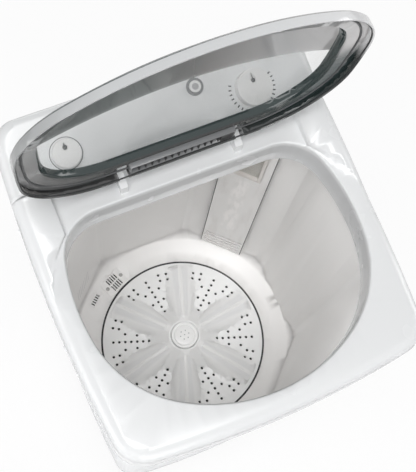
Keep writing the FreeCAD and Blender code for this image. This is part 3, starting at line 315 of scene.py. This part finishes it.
def paintPulsatorLight(finish, colour):
    reach = finish.reach((0, 0, 0), upright)
    turn = finish.shade.maths("ARCTAN2", finish.axis(1), finish.axis(0))
    pitch = 2 * math.pi / vaneMarks["count"]
    shift = 2 * vaneMarks["count"] + 0.5  # two turns keep it above 0, half a pitch puts a vane mid-sector
    sector = (turn - math.radians(vaneMarks["start"])) / pitch + shift
    fold = abs(finish.shade.maths("FRACT", sector) - 0.5) * pitch
    aside = reach * finish.shade.maths("SINE", fold)
    width = reach * vaneMarks["spread"] + vaneMarks["width"]
    onVane = reach.step(*vaneMarks["inner"]) * reach.fall(*vaneMarks["outer"])
    flankShade = (aside / width).fall(*vaneMarks["flankFade"]) * onVane
    crest = (aside / vaneMarks["crestWidth"]).fall(*vaneMarks["crestFade"]) * onVane
    # painted shade on the flanks, then a painted highlight on the crest
    colour = finish.shade.mix(flankShade * vaneMarks["flankShare"], colour, vaneMarks["flankShade"])
    colour = finish.shade.mix(crest * vaneMarks["crestShare"], colour, vaneMarks["crest"])
    # painted shade on the rim by the gap
    rim = reach.step(vaneMarks["rim"], vaneMarks["rim"] + edgeFade)
    return finish.shade.mix(rim, colour, vaneMarks["dark"])


# the channel cover: a dark seam down both edges, faint streaks, and a painted highlight in pale streaks down
# its middle
coverMarks = {
    "across": (-0.7071, 0.7071, 0), "middle": 0.0014, "seam": (0.0418, 0.0421), "dark": (0.06, 0.06, 0.06),
    "streaks": (60, 60, 9), "streakDetail": 4, "streakFade": (0.45, 0.75), "streakShare": 0.4,
    "streak": (0.66, 0.63, 0.61),
    "runs": (110, 110, 26), "highlightDetail": 3, "highlightFade": (0.4, 0.6), "highlightWidth": (0.008, 0.018),
    "highlightLow": (0.30, 0.36), "highlightHigh": (0.56, 0.61), "scale": (0.95, 0.93, 0.92),
}


def markCover(finish, colour):
    aside = abs(finish.along(coverMarks["across"]) - coverMarks["middle"])
    high = finish.axis(2)
    streaks = finish.noise(1, coverMarks["streakDetail"], coverMarks["streaks"])
    streaks = streaks.step(*coverMarks["streakFade"]) * coverMarks["streakShare"]
    colour = finish.shade.mix(streaks, colour, coverMarks["streak"])
    # painted highlight: pale streaks down the middle of the cover
    runs = finish.noise(1, coverMarks["highlightDetail"], coverMarks["runs"])
    runs = runs.step(*coverMarks["highlightFade"]) * aside.fall(*coverMarks["highlightWidth"]) \
        * high.step(*coverMarks["highlightLow"]) * high.fall(*coverMarks["highlightHigh"])
    colour = finish.shade.mix(runs, colour, coverMarks["scale"])
    return finish.shade.mix(aside.step(*coverMarks["seam"]), colour, coverMarks["dark"])


# the push button: grey middle and a white ring
buttonMarks = {"centre": (0.056, 0.2080, 0.8786), "middle": (0.0046, 0.0050), "white": (0.80, 0.80, 0.80)}


def markButton(finish, colour):
    ring = finish.reach(buttonMarks["centre"], slope).step(*buttonMarks["middle"])
    return finish.shade.mix(ring, colour, buttonMarks["white"])


marksOf = {"white_gloss": paintDeckShade, "tub_grey": paintTubShade, "pulsator_grey": paintPulsatorLight,
           "channelCover": markCover, "buttonFace": markButton}


def plastic(name, look):
    finish = Finish(name)
    drift = finish.noise(moulding["drift"]).step(*moulding["driftFade"])
    smudge = finish.noise(moulding["smudge"])
    colour = finish.shade.mix(drift * moulding["driftShare"], look["colour"], look["drift"])
    if name in marksOf:
        colour = marksOf[name](finish, colour)
    finish.set(Base_Color=colour, Roughness=look["rough"] + (smudge - 0.5) * moulding["smudgeShare"],
               Coat_Weight=look["coat"], Coat_Roughness=moulding["coatRough"])
    finish.bump(finish.noise(look["grain"]), look["relief"], moulding["grainDepth"])
    return finish.material


# metals: colour, its darker patches, and the direction of the rolling or turning strokes
metals = {
    "sheet_metal": {"colour": (0.62, 0.64, 0.65), "drift": (0.50, 0.52, 0.54), "rough": 0.42,
                    "strokes": (6, 6, 220)},
    "steel": {"colour": (0.34, 0.33, 0.32), "drift": (0.24, 0.24, 0.23), "rough": 0.42,
              "strokes": (40, 40, 400)},
    "cast": {"colour": (0.40, 0.41, 0.42), "drift": (0.30, 0.31, 0.32), "rough": 0.58,
             "strokes": (300, 300, 300)},
    "motor": {"colour": (0.28, 0.30, 0.33), "drift": (0.20, 0.21, 0.24), "rough": 0.50,
              "strokes": (180, 180, 180)},
}
rolling = {"drift": 9, "driftDetail": 5, "driftFade": (0.3, 0.8), "strokeDetail": 3, "strokeShare": 0.22,
           "metallic": 0.9, "relief": 0.12, "depth": 0.0003}


def metal(name, look):
    finish = Finish(name)
    drift = finish.noise(rolling["drift"], rolling["driftDetail"]).step(*rolling["driftFade"])
    strokes = finish.noise(1, rolling["strokeDetail"], look["strokes"])
    colour = finish.shade.mix(drift, look["colour"], look["drift"])
    finish.set(Base_Color=colour, Metallic=rolling["metallic"],
               Roughness=look["rough"] + (strokes - 0.5) * rolling["strokeShare"])
    finish.bump(strokes, rolling["relief"], rolling["depth"])
    return finish.material


# the lid's smoked tint, with painted shade and painted light that change across it: each ramp runs from its
# left end to its right end in metres
lidTintAndShade = {
    "frontSkirt": [(-0.228, (0.30, 0.31, 0.31)), (-0.12, (0.56, 0.57, 0.58)), (0.08, (0.70, 0.71, 0.72)),
                   (0.20, (0.82, 0.82, 0.83))],
    "rearSkirt": [(-0.228, (0.03, 0.032, 0.032)), (-0.10, (0.06, 0.06, 0.06)), (0.10, (0.05, 0.055, 0.055)),
                  (0.20, (0.02, 0.03, 0.03))],
    "frontFlange": [(-0.228, (0.24, 0.24, 0.245)), (-0.16, (0.10, 0.12, 0.12)), (-0.05, (0.08, 0.10, 0.10)),
                    (0.04, (0.34, 0.34, 0.34)), (0.15, (0.50, 0.50, 0.50)), (0.21, (0.62, 0.60, 0.60))],
    "rearFlange": [(-0.228, (0.24, 0.24, 0.245)), (-0.16, (0.14, 0.145, 0.145)),
                   (-0.10, (0.05, 0.055, 0.055)), (0.08, (0.05, 0.05, 0.05)),
                   (0.13, (0.02, 0.035, 0.035)), (0.21, (0.03, 0.05, 0.05))],
    "border": [(-0.21, (0.035, 0.055, 0.055)), (-0.06, (0.045, 0.065, 0.065)), (0.01, (0.17, 0.17, 0.17)),
               (0.12, (0.36, 0.36, 0.36)), (0.20, (0.50, 0.49, 0.49))],
}
# its zones, measured on the shut lid: levels where they begin, how solid they are, and the border's edge
smoked = {
    "halfWidth": 0.23, "frontToRear": (-0.09, -0.03),
    "wall": (0.020, 0.036, 0.036), "window": (0.30, 0.33, 0.33),
    "flangeLevel": 0.8412, "wallLevel": 0.8442, "windowLevel": 0.8540, "levelFade": 0.0004,
    "skirtSolid": 0.97, "flangeSolid": 0.92, "wallSolid": 0.96, "windowSolid": 0.12, "borderSolid": 0.90,
    "borderMiddle": -0.112, "borderTilt": 0.05, "borderCurve": 1.5, "borderFade": 0.002,
    "rough": 0.12, "haze": 11, "hazeDetail": 4, "hazeShare": 0.05, "coat": 0.4, "coatRough": 0.04,
    "ripple": 60, "relief": 0.02, "depth": 0.0004,
}
hinge = jointOf["lid_hinge"]
opening = math.radians(hinge["range_deg"][1])
hingeAt = Vector(hinge["pos_m"])


# depth and height that a point of the open lid has once the lid is shut
def shutPlace(finish):
    deep, high = finish.axis(1) - hingeAt.y, finish.axis(2) - hingeAt.z
    return (deep * math.cos(opening) - high * math.sin(opening) + hingeAt.y,
            deep * math.sin(opening) + high * math.cos(opening) + hingeAt.z)


def smoke(name):
    finish = Finish(name)
    deep, high = shutPlace(finish)
    across = finish.axis(0)
    width = 2 * smoked["halfWidth"]
    fromLeft = across / width + 0.5
    # ramps of the smoke's own tint with painted shade and painted light across the lid
    tintAndShade = {}
    for zone, stops in lidTintAndShade.items():
        shares = [(place / width + 0.5, colour) for place, colour in stops]
        tintAndShade[zone] = finish.shade.make("ShaderNodeValToRGB", {"stops": shares}, {"Fac": fromLeft})
    rear = deep.step(*smoked["frontToRear"])
    flange = finish.shade.mix(rear, tintAndShade["frontFlange"], tintAndShade["rearFlange"])
    edge = across * smoked["borderTilt"] + across * across * smoked["borderCurve"] + smoked["borderMiddle"]
    border = (deep - edge).fall(0, smoked["borderFade"])
    window = finish.shade.mix(border, smoked["window"], tintAndShade["border"])
    windowSolid = border * smoked["borderSolid"] + (1 - border) * smoked["windowSolid"]
    zones = ((smoked["flangeLevel"], flange, smoked["flangeSolid"]),
             (smoked["wallLevel"], smoked["wall"], smoked["wallSolid"]),
             (smoked["windowLevel"], window, windowSolid))
    colour = finish.shade.mix(rear, tintAndShade["frontSkirt"], tintAndShade["rearSkirt"])
    solid = smoked["skirtSolid"]
    for level, zoneColour, zoneSolid in zones:
        mask = high.step(level - smoked["levelFade"], level + smoked["levelFade"])
        colour = finish.shade.mix(mask, colour, zoneColour)
        solid = mask * zoneSolid + (1 - mask) * solid
    haze = finish.noise(smoked["haze"], smoked["hazeDetail"])
    finish.set(Base_Color=colour, Alpha=solid, Roughness=smoked["rough"] + (haze - 0.5) * smoked["hazeShare"],
               Coat_Weight=smoked["coat"], Coat_Roughness=smoked["coatRough"])
    finish.bump(finish.noise(smoked["ripple"]), smoked["relief"], smoked["depth"])
    return finish.material


# the lint mesh: a woven grid with open squares
weave = {"pitch": 0.0016, "thread": (0.55, 0.65), "solid": 0.85, "least": 0.1, "rough": 0.55,
         "colour": (0.78, 0.77, 0.74), "soiled": (0.62, 0.60, 0.55), "soil": 40, "soilDetail": 3,
         "relief": 0.3, "depth": 0.0005}


def lintMesh(name):
    finish = Finish(name)
    rows = [finish.axis(pick) / weave["pitch"] for pick in (0, 2)]
    waves = [abs(finish.shade.maths("SINE", row * math.pi)) for row in rows]
    squares = finish.shade.maths("MINIMUM", *waves)
    soil = finish.noise(weave["soil"], weave["soilDetail"])
    finish.set(Base_Color=finish.shade.mix(soil, weave["colour"], weave["soiled"]), Roughness=weave["rough"],
               Alpha=squares.fall(*weave["thread"]) * weave["solid"] + weave["least"])
    finish.bump(squares, weave["relief"], weave["depth"])
    return finish.material


finishes = {name: plastic(name, look) for name, look in plastics.items()}
finishes.update({name: metal(name, look) for name, look in metals.items()})
finishes["smoke"] = smoke("smoke")
finishes["mesh"] = lintMesh("mesh")
print("finishes:", len(finishes))


def paint(piece, finish):
    piece.data.materials.clear()
    piece.data.materials.append(finishes[finish])


def deselect():
    bpy.ops.object.select_all(action="DESELECT")


def choose(piece):
    deselect()
    piece.select_set(True)
    bpy.context.view_layer.objects.active = piece


def edit(piece):
    bpy.context.view_layer.objects.active = piece
    bpy.ops.object.mode_set(mode="EDIT")


# edit mode with everything selected
def editAll(piece):
    edit(piece)
    bpy.ops.mesh.select_all(action="SELECT")


def leave():
    bpy.ops.object.mode_set(mode="OBJECT")


def modify(piece, kind, **settings):
    bpy.context.view_layer.objects.active = piece
    modifier = piece.modifiers.new(kind.lower(), kind)
    for name, value in settings.items():
        setattr(modifier, name, value)
    bpy.ops.object.modifier_apply(modifier=modifier.name)


def roundEdges(piece, width, segments=2, angle=60):
    modify(piece, "BEVEL", width=width, segments=segments, limit_method="ANGLE",
           angle_limit=math.radians(angle))


# faces of a piece, chosen by their middle and the way they look
def pickFaces(piece, test):
    edit(piece)
    bpy.ops.mesh.select_mode(type="FACE")
    bpy.ops.mesh.select_all(action="DESELECT")
    leave()
    for face in piece.data.polygons:
        face.select = test(face.center, face.normal)
    edit(piece)


def pickPoints(piece, test):
    edit(piece)
    bpy.ops.mesh.select_mode(type="VERT")
    bpy.ops.mesh.select_all(action="DESELECT")
    leave()
    for point in piece.data.vertices:
        point.select = test(point.co)
    edit(piece)


nearlyLevel = 0.9  # upward share of the normal of a face that counts as level


def looksUp(place, normal):
    return normal.z > nearlyLevel


def looksDown(place, normal):
    return normal.z < -nearlyLevel


# copies of what is selected, all the way round the upright axis
def spinCopies(count):
    bpy.ops.mesh.spin(steps=count, dupli=True, angle=2 * math.pi, center=(0, 0, 0), axis=upright)


def named(name):
    piece = bpy.context.object
    piece.name = name
    return piece


def applyPlace(piece):
    choose(piece)
    bpy.ops.object.transform_apply(location=True, rotation=True, scale=True)


# points closer than this are merged, in metres
mergeGap = {"node": 0.000005, "piece": 0.000002}
softAngle = 40  # degrees up to which two faces are shaded as one


def settle(piece, body, slot):
    applyPlace(piece)
    editAll(piece)
    bpy.ops.mesh.remove_doubles(threshold=mergeGap["piece"])
    bpy.ops.mesh.normals_make_consistent(inside=False)
    leave()
    bpy.ops.object.shade_smooth_by_angle(angle=math.radians(softAngle))
    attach(piece, body)
    paint(piece, slot)
    print("made:", piece.name)


# from flat on the ground to its place on the console's face
def ontoConsole(piece, place):
    piece.rotation_euler = (math.atan2(-slope[1], slope[2]), 0, 0)
    piece.location = place


# turns a piece about the lid's hinge: what is modelled on the shut lid swings open with it
def swing(piece, turn):
    piece.rotation_mode = "XYZ"
    piece.rotation_euler = (turn, 0, 0)
    piece.location = hingeAt - Matrix.Rotation(turn, 3, "X") @ hingeAt


def block(name, low, high):
    deselect()
    bpy.ops.mesh.primitive_cube_add(size=1, location=(Vector(low) + Vector(high)) / 2,
                                    scale=Vector(high) - Vector(low))
    piece = named(name)
    applyPlace(piece)
    return piece


# a merged copy of a node
def skinOf(node):
    choose(nodes[node])
    bpy.ops.object.duplicate()
    skin = named(node + "_skin")
    skin.parent = None
    for key in list(skin.keys()):
        del skin[key]
    editAll(skin)
    bpy.ops.mesh.remove_doubles(threshold=mergeGap["node"])
    leave()
    return skin


# nodes with a finish of their own, other than their slot's
ownFinish = {"filter_panel": "channelCover", "push_button": "buttonFace", "deck_screws": "white_body",
             "drain_grille": "grille", "overflow_grille": "grille"}
softNormals = {"keep_sharp": True, "weight": 70}


# the copy is shaded softly and takes the node's place
def wear(skin, node, angle):
    choose(skin)
    bpy.ops.object.shade_smooth_by_angle(angle=math.radians(angle))
    modify(skin, "WEIGHTED_NORMAL", **softNormals)
    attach(skin, bodyOf[node])
    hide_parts(node)
    paint(skin, ownFinish.get(node, slotOf[node]))


for name, node in nodes.items():
    paint(node, ownFinish.get(name, slotOf[name]))

# beads along the lid start from copies of it: level on the shut lid, how far in from the skirt, thickness
beads = {
    "rimSeal": {"level": 0.8322, "inset": 0.0002, "thick": 0.0012, "slot": "rubber_black"},
    "flangeLip": {"level": 0.8408, "inset": 0.0105, "thick": 0.0015, "slot": "housing_dark"},
}
beadCopies = {name: skinOf("lid_shell") for name in beads}

# mouldings with rounded edges already in the CAD: degrees up to which two faces are shaded as one
softPieces = {"top_deck": 50, "control_panel": 50, "lid_shell": 50, "wash_tub": 34, "cabinet_shell": 34,
              "pulsator": 28, "base_frame": 34, "drain_spigot": 34, "filter_frame": 34, "filter_panel": 34}
# room for the ears in the shut lid's rim, on both sides of the middle
earRoom = {"inner": 0.0793, "outer": 0.0929, "front": 0.086, "rear": 0.116, "low": 0.826, "high": 0.8465}


def cutEarRoom(skin):
    for side in (-1, 1):
        left, right = sorted((side * earRoom["inner"], side * earRoom["outer"]))
        cutter = block("earRoom", (left, earRoom["front"], earRoom["low"]),
                       (right, earRoom["rear"], earRoom["high"]))
        swing(cutter, -opening)
        applyPlace(cutter)
        modify(skin, "BOOLEAN", object=cutter, operation="DIFFERENCE", solver="EXACT")
        choose(cutter)
        bpy.ops.object.delete()


for name, angle in softPieces.items():
    skin = skinOf(name)
    if name == "lid_shell":
        cutEarRoom(skin)
    wear(skin, name, angle)

# knobs, button, bezel, ears and feet get a rounded edge here: width of the round in metres
roundedPieces = {"timer_knob": 0.0022, "selector_knob": 0.0020, "push_button": 0.0009, "button_bezel": 0.0007,
                 "hinge_ear_left": 0.0018, "hinge_ear_right": 0.0018, "base_feet": 0.0020}
flatAngle = 1  # degrees below which faces of the copy are joined before the round
for name, width in roundedPieces.items():
    skin = skinOf(name)
    editAll(skin)
    bpy.ops.mesh.dissolve_limited(angle_limit=math.radians(flatAngle))
    leave()
    roundEdges(skin, width, segments=3, angle=50)
    wear(skin, name, softAngle)
print("skins:", len(softPieces) + len(roundedPieces))


timerAt = jointOf["timer_turn"]["pos_m"]
selectorAt = jointOf["selector_turn"]["pos_m"]
# ticks round the timer, with a gap in degrees to both sides of the top
tickRing = {"reach": 0.0330, "length": 0.0042, "width": 0.0019, "height": 0.0006, "count": 32, "gap": 62}


def makeTickRing():
    deselect()
    bpy.ops.mesh.primitive_cube_add(size=1, location=(0, 0, 0))
    ring = named("timerTicks")
    editAll(ring)
    bpy.ops.transform.resize(value=(tickRing["width"], tickRing["length"], tickRing["height"]))
    bpy.ops.transform.translate(value=(0, tickRing["reach"], 0))
    spinCopies(tickRing["count"])
    pickFaces(ring, lambda place, normal: abs(math.degrees(math.atan2(place.x, place.y))) < tickRing["gap"])
    bpy.ops.mesh.delete(type="FACE")
    leave()
    ontoConsole(ring, timerAt)
    settle(ring, "machine", "housing_dark")


# dark drops let into the tops of the knobs
pointers = {
    "timerPointer": {"body": "timer_dial", "at": timerAt, "middle": 0.0098, "tip": 0.0206, "radius": 0.0032,
                     "top": 0.0172},
    "selectorPointer": {"body": "selector_dial", "at": selectorAt, "middle": 0.0084, "tip": 0.0146,
                        "radius": 0.0032, "top": 0.0152},
}
drop = {"thick": 0.0016, "round": 0.0003, "sides": 24, "tipFrom": 0.99}  # tipFrom is a share of the radius


def makePointer(name, look):
    deselect()
    bpy.ops.mesh.primitive_cylinder_add(vertices=drop["sides"], radius=look["radius"], depth=drop["thick"],
                                        location=(0, look["middle"], look["top"] - drop["thick"] / 2))
    pointer = named(name)
    applyPlace(pointer)
    pickPoints(pointer, lambda place: place.y > look["middle"] + look["radius"] * drop["tipFrom"])
    bpy.ops.transform.translate(value=(0, look["tip"] - look["middle"] - look["radius"], 0))
    leave()
    roundEdges(pointer, drop["round"])
    ontoConsole(pointer, look["at"])
    settle(pointer, look["body"], "housing_dark")


# painted shade: a thin dark ring on the console round the selector, for the shade in the gap round the knob
selectorShadeRing = {"reach": 0.0226, "thick": 0.0005, "flat": 0.6, "sides": 72, "sectionSides": 8}


def makeSelectorShadeRing():
    deselect()
    bpy.ops.mesh.primitive_torus_add(major_radius=selectorShadeRing["reach"], minor_radius=selectorShadeRing["thick"],
                                     major_segments=selectorShadeRing["sides"],
                                     minor_segments=selectorShadeRing["sectionSides"])
    ring = named("selectorShadeRing")
    editAll(ring)
    bpy.ops.transform.resize(value=(1, 1, selectorShadeRing["flat"]))
    leave()
    ontoConsole(ring, selectorAt)
    settle(ring, "machine", "housing_dark")


# cap over the pulsator's screw: rim, groove with steep sides, and a raised middle
hubCap = {"radius": 0.026, "foot": 0.233, "top": 0.2402, "rim": 0.0048, "groove": 0.0011,
          "grooveWidth": 0.0009, "grooveSide": 0.0004, "crownWidth": 0.006, "crown": 0.0008,
          "round": 0.0012, "sides": 72}


def makeHubCap():
    deselect()
    bpy.ops.mesh.primitive_cylinder_add(vertices=hubCap["sides"], radius=hubCap["radius"],
                                        depth=hubCap["top"] - hubCap["foot"],
                                        location=(0, 0, (hubCap["top"] + hubCap["foot"]) / 2))
    cap = named("hubCap")
    applyPlace(cap)
    pickFaces(cap, looksUp)
    bpy.ops.mesh.inset(thickness=hubCap["rim"])
    bpy.ops.mesh.inset(thickness=hubCap["grooveSide"])
    bpy.ops.transform.translate(value=(0, 0, -hubCap["groove"]))
    bpy.ops.mesh.inset(thickness=hubCap["grooveWidth"])
    bpy.ops.mesh.inset(thickness=hubCap["grooveSide"])
    bpy.ops.transform.translate(value=(0, 0, hubCap["groove"]))
    bpy.ops.mesh.inset(thickness=hubCap["crownWidth"])
    bpy.ops.transform.translate(value=(0, 0, hubCap["crown"]))
    leave()
    roundEdges(cap, hubCap["round"], segments=3)
    settle(cap, "pulsator_set", "pulsator_grey")
    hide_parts("pulsator_cap")


# a rosette of pips on the cap
hubPips = {"radius": 0.0013, "height": 0.0009, "reach": 0.0088, "count": 6, "round": 0.0003, "sides": 14}


def makeHubPips():
    high = hubCap["top"] + hubCap["crown"]
    pip = {"vertices": hubPips["sides"], "radius": hubPips["radius"], "depth": hubPips["height"]}
    deselect()
    bpy.ops.mesh.primitive_cylinder_add(**pip, location=(0, 0, 0))
    pips = named("hubPips")
    editAll(pips)
    bpy.ops.transform.translate(value=(hubPips["reach"], 0, high))
    spinCopies(hubPips["count"])
    bpy.ops.mesh.primitive_cylinder_add(**pip, location=(0, 0, high))
    bpy.ops.mesh.select_all(action="SELECT")
    bpy.ops.mesh.remove_doubles(threshold=mergeGap["piece"])
    leave()
    roundEdges(pips, hubPips["round"])
    settle(pips, "pulsator_set", "drain_grey")


# a rounded rib along the crest of each vane, sinking in towards the rim
vaneRidges = {"inner": 0.038, "outer": 0.138, "innerTop": 0.2338, "outerTop": 0.2061, "radius": 0.0050,
              "round": 0.004, "sides": 20}


def makeVaneRidges():
    start = Vector((vaneRidges["inner"], 0, vaneRidges["innerTop"] - vaneRidges["radius"]))
    end = Vector((vaneRidges["outer"], 0, vaneRidges["outerTop"] - vaneRidges["radius"]))
    turn = (end - start).to_track_quat("Z", "Y").to_euler()
    deselect()
    bpy.ops.mesh.primitive_cylinder_add(vertices=vaneRidges["sides"], radius=vaneRidges["radius"],
                                        depth=(end - start).length, location=(start + end) / 2, rotation=turn)
    ridges = named("vaneRidges")
    roundEdges(ridges, vaneRidges["round"], segments=4)
    applyPlace(ridges)
    editAll(ridges)
    spinCopies(vaneMarks["count"])
    bpy.ops.mesh.select_all(action="SELECT")
    bpy.ops.mesh.remove_doubles(threshold=mergeGap["piece"])
    leave()
    ridges.rotation_euler = (0, 0, math.radians(vaneMarks["start"]))
    settle(ridges, "pulsator_set", "pulsator_grey")


# tray between the ears, open downwards, measured on the shut lid
hingeTray = {"half": 0.077, "rear": 0.1085, "front": 0.0845, "low": 0.8338, "high": 0.8416, "rim": 0.0022,
             "depth": 0.0055, "round": 0.0005}


def makeHingeTray():
    tray = block("hingeTray", (-hingeTray["half"], hingeTray["front"], hingeTray["low"]),
                 (hingeTray["half"], hingeTray["rear"], hingeTray["high"]))
    pickFaces(tray, looksDown)
    bpy.ops.mesh.inset(thickness=hingeTray["rim"])
    bpy.ops.mesh.extrude_region_move(TRANSFORM_OT_translate={"value": (0, 0, hingeTray["depth"])})
    leave()
    roundEdges(tray, hingeTray["round"])
    swing(tray, -opening)
    settle(tray, "lid", "button_grey")


# ribs across the tray, let in a little from its edge and rooted in its floor
trayRibs = {"count": 14, "width": 0.0016, "ends": 0.004, "inset": 0.001, "sunk": 0.0008, "root": 0.001,
            "round": 0.0003}


def makeTrayRibs():
    span = hingeTray["half"] - trayRibs["ends"]
    pitch = 2 * span / (trayRibs["count"] + 1)
    first = pitch - span
    low = (first - trayRibs["width"] / 2, hingeTray["front"] + trayRibs["inset"],
           hingeTray["low"] + trayRibs["sunk"])
    high = (first + trayRibs["width"] / 2, hingeTray["rear"] - trayRibs["inset"],
            hingeTray["low"] + hingeTray["depth"] + trayRibs["root"])
    ribs = block("hingeTrayRibs", low, high)
    roundEdges(ribs, trayRibs["round"])
    modify(ribs, "ARRAY", count=trayRibs["count"], use_relative_offset=False, use_constant_offset=True,
           constant_offset_displace=(pitch, 0, 0))
    swing(ribs, -opening)
    settle(ribs, "lid", "rubber_black")


# rubber stop in the tray, with a hollow in its face
lidStop = {"left": 0.056, "right": 0.0745, "front": 0.087, "rear": 0.106, "low": 0.8332, "high": 0.8406,
           "rim": 0.003, "hollow": 0.0012, "round": 0.0008}


def makeLidStop():
    stop = block("lidStop", (lidStop["left"], lidStop["front"], lidStop["low"]),
                 (lidStop["right"], lidStop["rear"], lidStop["high"]))
    pickFaces(stop, looksDown)
    bpy.ops.mesh.inset(thickness=lidStop["rim"])
    bpy.ops.transform.translate(value=(0, 0, lidStop["hollow"]))
    leave()
    roundEdges(stop, lidStop["round"], angle=50)
    swing(stop, -opening)
    settle(stop, "lid", "rubber_black")


# a bead follows the inner loop of the skirt, cut at this level; the loop is found behind, near the middle
beadPath = {"cut": 0.8370, "near": 0.06, "behind": 0.09, "thin": 0.0002, "merge": 0.0006, "section": 2}


def makeBead(name, look):
    bead = beadCopies[name]
    bead.name = name
    swing(bead, opening)
    applyPlace(bead)
    editAll(bead)
    bpy.ops.mesh.bisect(plane_co=(0, 0, beadPath["cut"]), plane_no=upright,
                        clear_inner=True, clear_outer=True)
    leave()
    rear = [point.co.y for point in bead.data.vertices
            if abs(point.co.x) < beadPath["near"] and point.co.y > beadPath["behind"]]
    inner = min(rear) + beadPath["thin"]
    pickPoints(bead, lambda place: abs(place.x) < beadPath["near"] and beadPath["behind"] < place.y < inner)
    bpy.ops.mesh.select_linked()
    bpy.ops.mesh.select_all(action="INVERT")
    bpy.ops.mesh.delete(type="VERT")
    bpy.ops.mesh.select_all(action="SELECT")
    bpy.ops.mesh.remove_doubles(threshold=beadPath["merge"])
    leave()
    places = [[point.co[axis] for point in bead.data.vertices] for axis in (0, 1)]
    centre = [(max(row) + min(row)) / 2 for row in places]
    shrink = [1 - 2 * look["inset"] / (max(row) - min(row)) for row in places]
    editAll(bead)
    bpy.ops.transform.resize(value=(*shrink, 1), center_override=(*centre, beadPath["cut"]))
    bpy.ops.transform.translate(value=(0, 0, look["level"] - beadPath["cut"]))
    leave()
    choose(bead)
    bpy.ops.object.convert(target="CURVE")
    bead.data.bevel_depth = look["thick"]
    bead.data.bevel_resolution = beadPath["section"]
    bpy.ops.object.convert(target="MESH")
    swing(bead, -opening)
    settle(bead, "lid", look["slot"])


for name, look in beads.items():
    makeBead(name, look)
makeHingeTray()
makeTrayRibs()
makeLidStop()
makeTickRing()
for name, look in pointers.items():
    makePointer(name, look)
makeSelectorShadeRing()
makeHubCap()
makeHubPips()
makeVaneRidges()


# floor and surroundings: white to the eye, an even grey to the machine
stage = {"size": 12, "colour": (0.88, 0.88, 0.88), "drift": (0.86, 0.86, 0.865), "cloud": 3, "cloudDetail": 3,
         "rough": 0.8, "white": 0.86, "ambient": 0.20}


def setFloor():
    deselect()
    bpy.ops.mesh.primitive_plane_add(size=stage["size"], location=(0, 0, 0))
    floor = named("floor")
    finish = Finish("floor")
    cloud = finish.noise(stage["cloud"], stage["cloudDetail"])
    finish.set(Base_Color=finish.shade.mix(cloud, stage["colour"], stage["drift"]), Roughness=stage["rough"])
    seen = finish.shade.make("ShaderNodeLightPath", pick="Is Camera Ray")
    glow = finish.shade.make("ShaderNodeEmission", None, {"Color": (1, 1, 1, 1), "Strength": 1})
    matt = Shade(finish.tree, finish.shader.outputs[0])
    both = finish.shade.make("ShaderNodeMixShader", None, {0: seen * stage["white"], 1: matt, 2: glow})
    finish.tree.links.new(both.socket, finish.tree.nodes["Material Output"].inputs["Surface"])
    floor.data.materials.append(finish.material)


def setWorld():
    world = bpy.data.worlds.new("studio")
    scene.world = world
    world.use_nodes = True
    shade = Shade(world.node_tree)
    camera, glossy, through = (shade.make("ShaderNodeLightPath", pick=pick)
                               for pick in ("Is Camera Ray", "Is Glossy Ray", "Is Transmission Ray"))
    seen = shade.maths("MAXIMUM", shade.maths("MAXIMUM", camera, glossy), through)
    light = world.node_tree.nodes["Background"]
    light.inputs["Color"].default_value = (1, 1, 1, 1)
    shade.feed(light.inputs["Strength"], stage["ambient"] + seen * (1 - stage["ambient"]))


setCamera()
setLamps()
setFloor()
setWorld()
